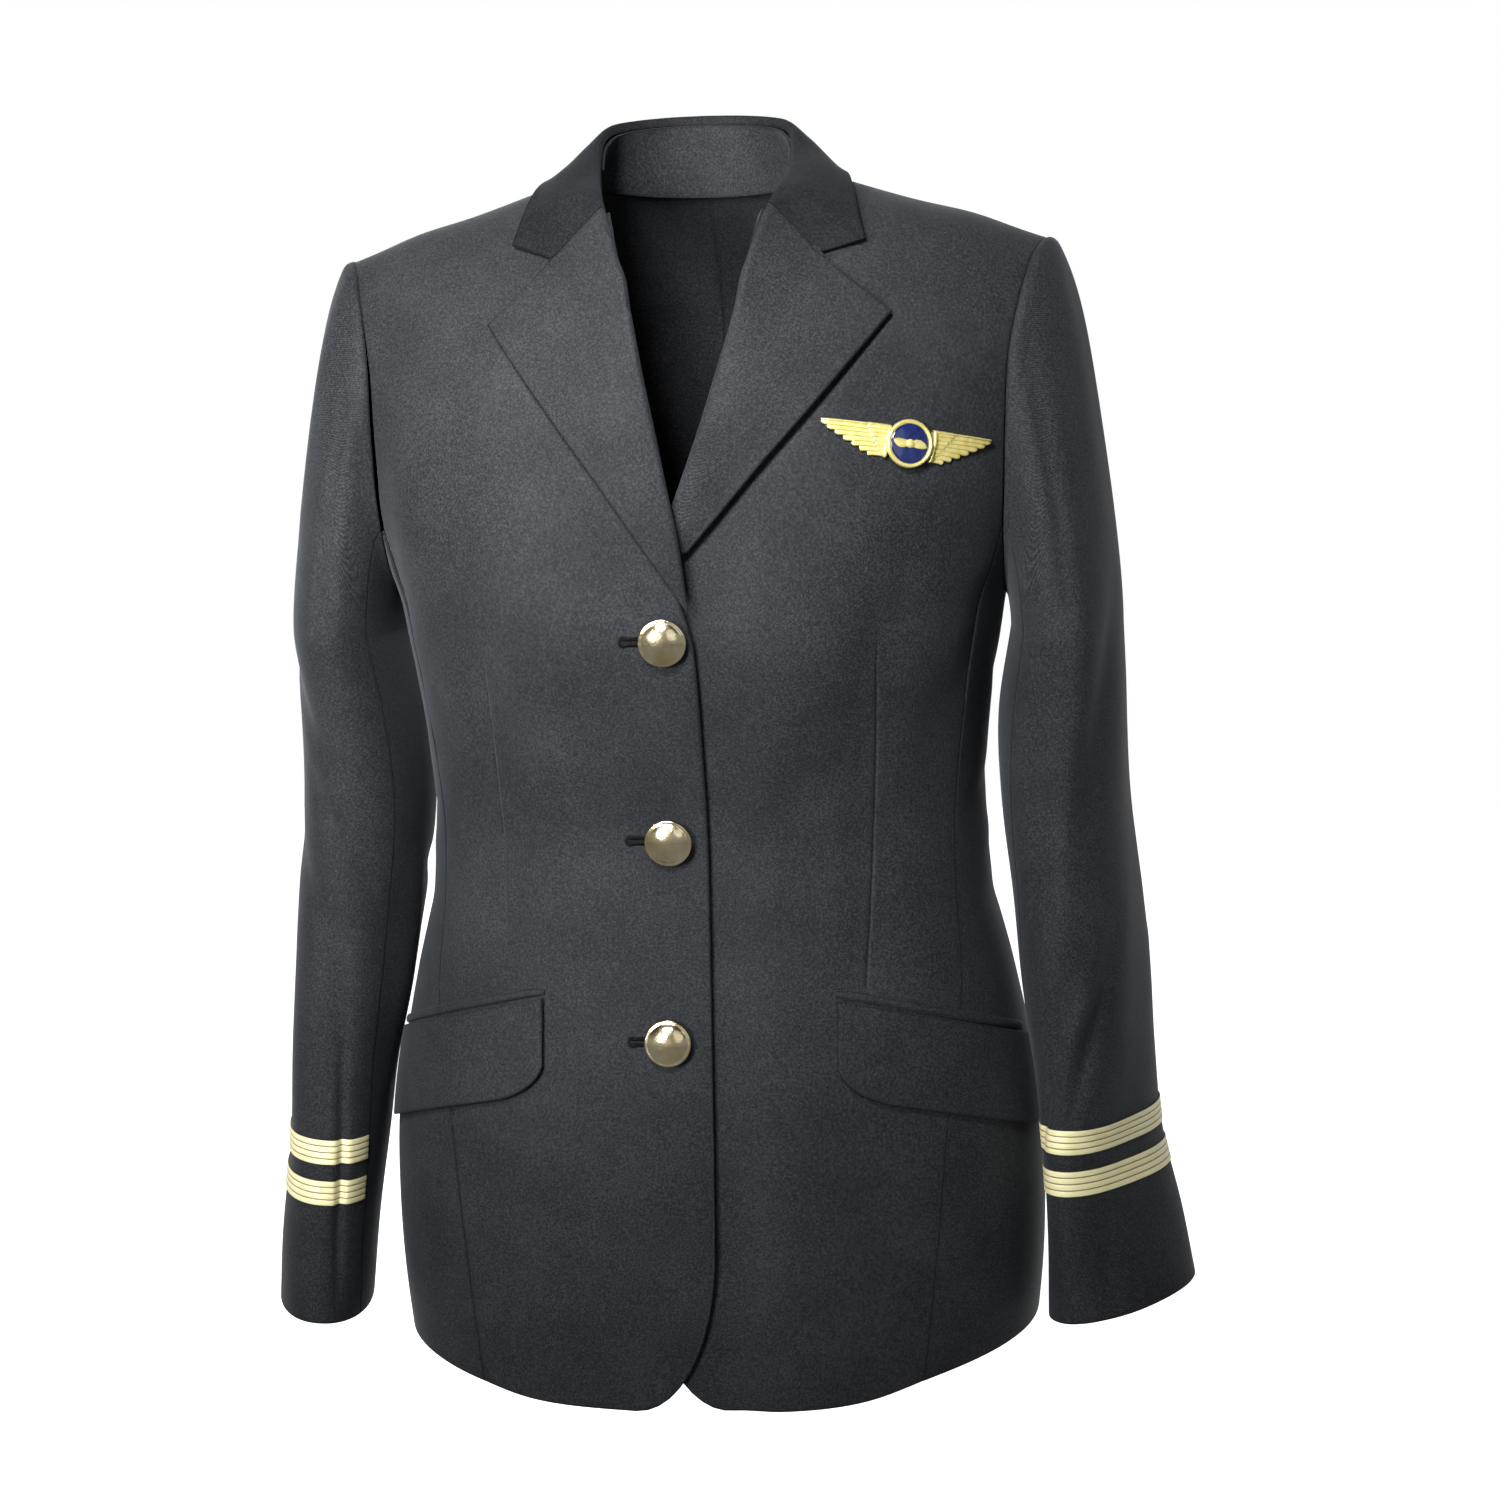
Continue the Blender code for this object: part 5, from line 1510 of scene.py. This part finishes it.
def thread_and_slit_shade_material():
    paint = Paint(bpy.data.materials.new("buttonhole_thread_and_slit_shade"))
    twist = paint.noise(paint.place(), 3200.0, 2.0)
    # near black: the stitches' own colour, and on the slit strip painted shade
    paint.shade(
        Base_Color=paint.ramp(twist, ((0.3, (0.002, 0.002, 0.0025)), (0.7, (0.010, 0.010, 0.011)))),
        Roughness=0.5,
        Specular_IOR_Level=0.15,
        Normal=paint.bump(twist, 0.4, 0.0001),
    )
    return paint.owner


def braid_material():
    """Metallic braid: four ribs of fine lengthwise wires, parted by thin grooves painted dark brown as painted shade.
    """
    paint = Paint(bpy.data.materials.new("gold_braid"))
    across, along = paint.cut()
    full = 2 * np.pi
    rib = paint.wave(along * (full * RIBS / (BRAID["wide"] * MM)), "COSINE")
    # painted shade in the grooves between the ribs
    groove_shade = paint.remap(rib, (0.72, 0.97, 1.0, 0.0), soft=False)
    wires = paint.wave(along * (full / WIRE_PITCH) + across * (full / WIRE_LEAN))
    twist = paint.wave(across * (full / TWIST_PITCH) + along * (full / TWIST_LEAN))
    worn = paint.noise(paint.place(), 120.0)
    gold = paint.ramp(wires * 0.10 + twist * 0.05 + (worn * 0.4 + 0.3), BRAID_TONES)
    blend = paint.node("Mix")
    blend.data_type = "RGBA"
    paint.put(groove_shade, blend.inputs["Factor"])
    blend.inputs[6].default_value = BRAID_GROOVE_SHADE
    paint.put(gold, blend.inputs[7])
    paint.shade(
        Base_Color=Value(paint, blend.outputs[2]),
        Metallic=0.08,
        Roughness=worn * 0.2 + 0.36,
        Normal=paint.bump(wires + twist * 0.6, 0.4, 0.00008),
    )
    return paint.owner


def metal_material(name, dark, light, rough, grain, scratch=0.12, metallic=1.0, wavy=0.0):
    paint = Paint(bpy.data.materials.new(name))
    place = paint.place()
    fine = paint.noise(place, grain * 9)
    polish = paint.bump(fine, scratch, 0.00008)
    if wavy:
        polish = paint.bump(paint.noise(place, 170.0, 2.0), wavy, 0.0009, polish)
    paint.shade(
        Base_Color=paint.ramp(paint.noise(place, grain, 4.0), ((0.3, dark), (0.7, light))),
        Metallic=metallic,
        Roughness=fine * 0.12 + rough,
        Normal=polish,
    )
    return paint.owner


def enamel_material():
    paint = Paint(bpy.data.materials.new("blue_enamel"))
    depth = paint.noise(paint.place(), 320.0)
    paint.shade(
        Base_Color=paint.ramp(depth, ((0.3, (0.004, 0.009, 0.050)), (0.7, (0.010, 0.019, 0.105)))),
        Roughness=depth * 0.1 + 0.08,
        Coat_Weight=0.6,
        Coat_Roughness=0.05,
    )
    return paint.owner


SIDES = ((RIGHT, "right"), (LEFT, "left"))
CLOTH = cloth_material("wool_twill")
CLOTH_PAINTED_DARKER = cloth_material("wool_twill_painted_darker", 0.62, 0.04)  # the collar is cut across the twill; its copy of the cloth is painted darker and duller, painted shade for the light that twill catches less of
THREAD_AND_SLIT_SHADE = thread_and_slit_shade_material()
BRAID_GOLD = braid_material()
BRASS = metal_material("button_brass", (0.70, 0.55, 0.28), (0.93, 0.84, 0.60), 0.13, 60.0, wavy=0.35)
BADGE_GOLD = metal_material("badge_gold", (0.72, 0.60, 0.17), (0.86, 0.78, 0.32), 0.30, 260.0, 0.25, 0.55)
ENAMEL = enamel_material()

# ---------------------------------------------------------------- studio
TARGET = Vector((0.02224, 0.00393, -0.31150))
AZIMUTH, ELEVATION, ROLL, DISTANCE = 8.0, 10.0, 1.5, 1.8
SENSOR_WIDTH, LENS = 36.0, 77.76  # of the camera, in millimetres
FLOOR_Z, FLOOR_HALF = -1.05, 3.6
ROOM_BAND, ROOM_DIM = 0.26, 0.02  # brightness of the band at eye level and of the rest of the room


def lamp(kind, name, place, aim, power, **settings):
    data = bpy.data.lights.new(name, kind)
    data.energy = power
    for key, value in settings.items():
        setattr(data, key, value)
    made = bpy.data.objects.new(name, data)
    bpy.context.scene.collection.objects.link(made)
    made.location = place
    made.rotation_euler = (Vector(aim) - Vector(place)).to_track_quat("-Z", "Y").to_euler()


def spot_light(name, place, aim, cone, blend, radius, power):
    lamp("SPOT", name, place, aim, power, spot_size=np.radians(cone), spot_blend=blend, shadow_soft_size=radius)


def area_light(name, place, aim, size, power):
    lamp("AREA", name, place, aim, power, shape="DISK", size=size)


def build_floor():
    mesh = bpy.data.meshes.new("floor")
    corners = [(x * FLOOR_HALF, y * FLOOR_HALF, FLOOR_Z) for x, y in ((-1, -1), (1, -1), (1, 1), (-1, 1))]
    mesh.from_pydata(corners, [], [(0, 1, 2, 3)])
    floor = bpy.data.objects.new("floor", mesh)
    bpy.context.scene.collection.objects.link(floor)
    paint = Paint(bpy.data.materials.new("pale_floor"))
    place = paint.place()
    paint.shade(
        Base_Color=paint.ramp(paint.noise(place, 0.6, 2.0), ((0.3, (0.93, 0.93, 0.93)), (0.7, (0.95, 0.95, 0.95)))),
        Roughness=0.9,
        Emission_Color=(1.0, 1.0, 1.0, 1),
        # the floor glows white from just behind the jacket on
        Emission_Strength=paint.remap(paint.split(place)[1], (0.25, 0.85, 0.0, 1.0)),
    )
    mesh.materials.append(paint.owner)


def build_room():
    """A bright wall behind the jacket, a dim room in front of it with a paler band at eye level."""
    scene = bpy.context.scene
    scene.world = scene.world or bpy.data.worlds.new("studio")
    paint = Paint(scene.world)
    _, deep, high = paint.split(paint.place("Generated"))
    wall = paint.remap(deep, (0.0, 0.8, 0.0, 1.0))
    behind = wall * paint.remap(high, (0.2, 0.7, 1.0, 0.35))
    ahead = (1.0 - wall) * paint.remap(paint.math("ABSOLUTE", high), (0.12, 0.4, ROOM_BAND, ROOM_DIM))
    background = paint.nodes["Background"]
    paint.put(behind + ahead, background.inputs["Strength"])
    background.inputs["Color"].default_value = (1.0, 1.0, 1.0, 1)


def build_camera():
    a, e, r = (np.radians(angle) for angle in (AZIMUTH, ELEVATION, ROLL))
    back = Vector((np.sin(a) * np.cos(e), -np.cos(a) * np.cos(e), np.sin(e)))
    right = Vector((np.cos(a), np.sin(a), 0))
    up = back.cross(right)
    turned_right = right * np.cos(r) - up * np.sin(r)
    turned_up = right * np.sin(r) + up * np.cos(r)
    data = bpy.data.cameras.new("camera")
    data.sensor_width = SENSOR_WIDTH
    data.lens = LENS
    camera = bpy.data.objects.new("camera", data)
    bpy.context.scene.collection.objects.link(camera)
    pose = Matrix((turned_right, turned_up, back)).transposed().to_4x4()
    pose.translation = TARGET + back * DISTANCE
    camera.matrix_world = pose
    bpy.context.scene.camera = camera


def build_studio():
    bpy.context.scene.view_settings.view_transform = "Standard"
    build_floor()
    build_room()
    middle = (0.0, 0.0, -0.3)
    spot_light("key", (-0.24, -1.28, 0.84), (-0.145, -0.08, 0.08), 35, 0.34, 0.24, 222.0)
    spot_light("side", (-0.9, -1.9, 0.2), (-0.12, -0.08, -0.21), 32, 0.86, 0.36, 270.0)
    area_light("window", (0.95, -1.9, 0.35), middle, 1.2, 2.8)
    area_light("back_soft", (-0.9, 2.0, 0.2), middle, 1.2, 6.0)
    build_camera()


build_body()
build_sleeves()
build_neck()
build_pockets()
build_buttons()
build_badge()
build_studio()
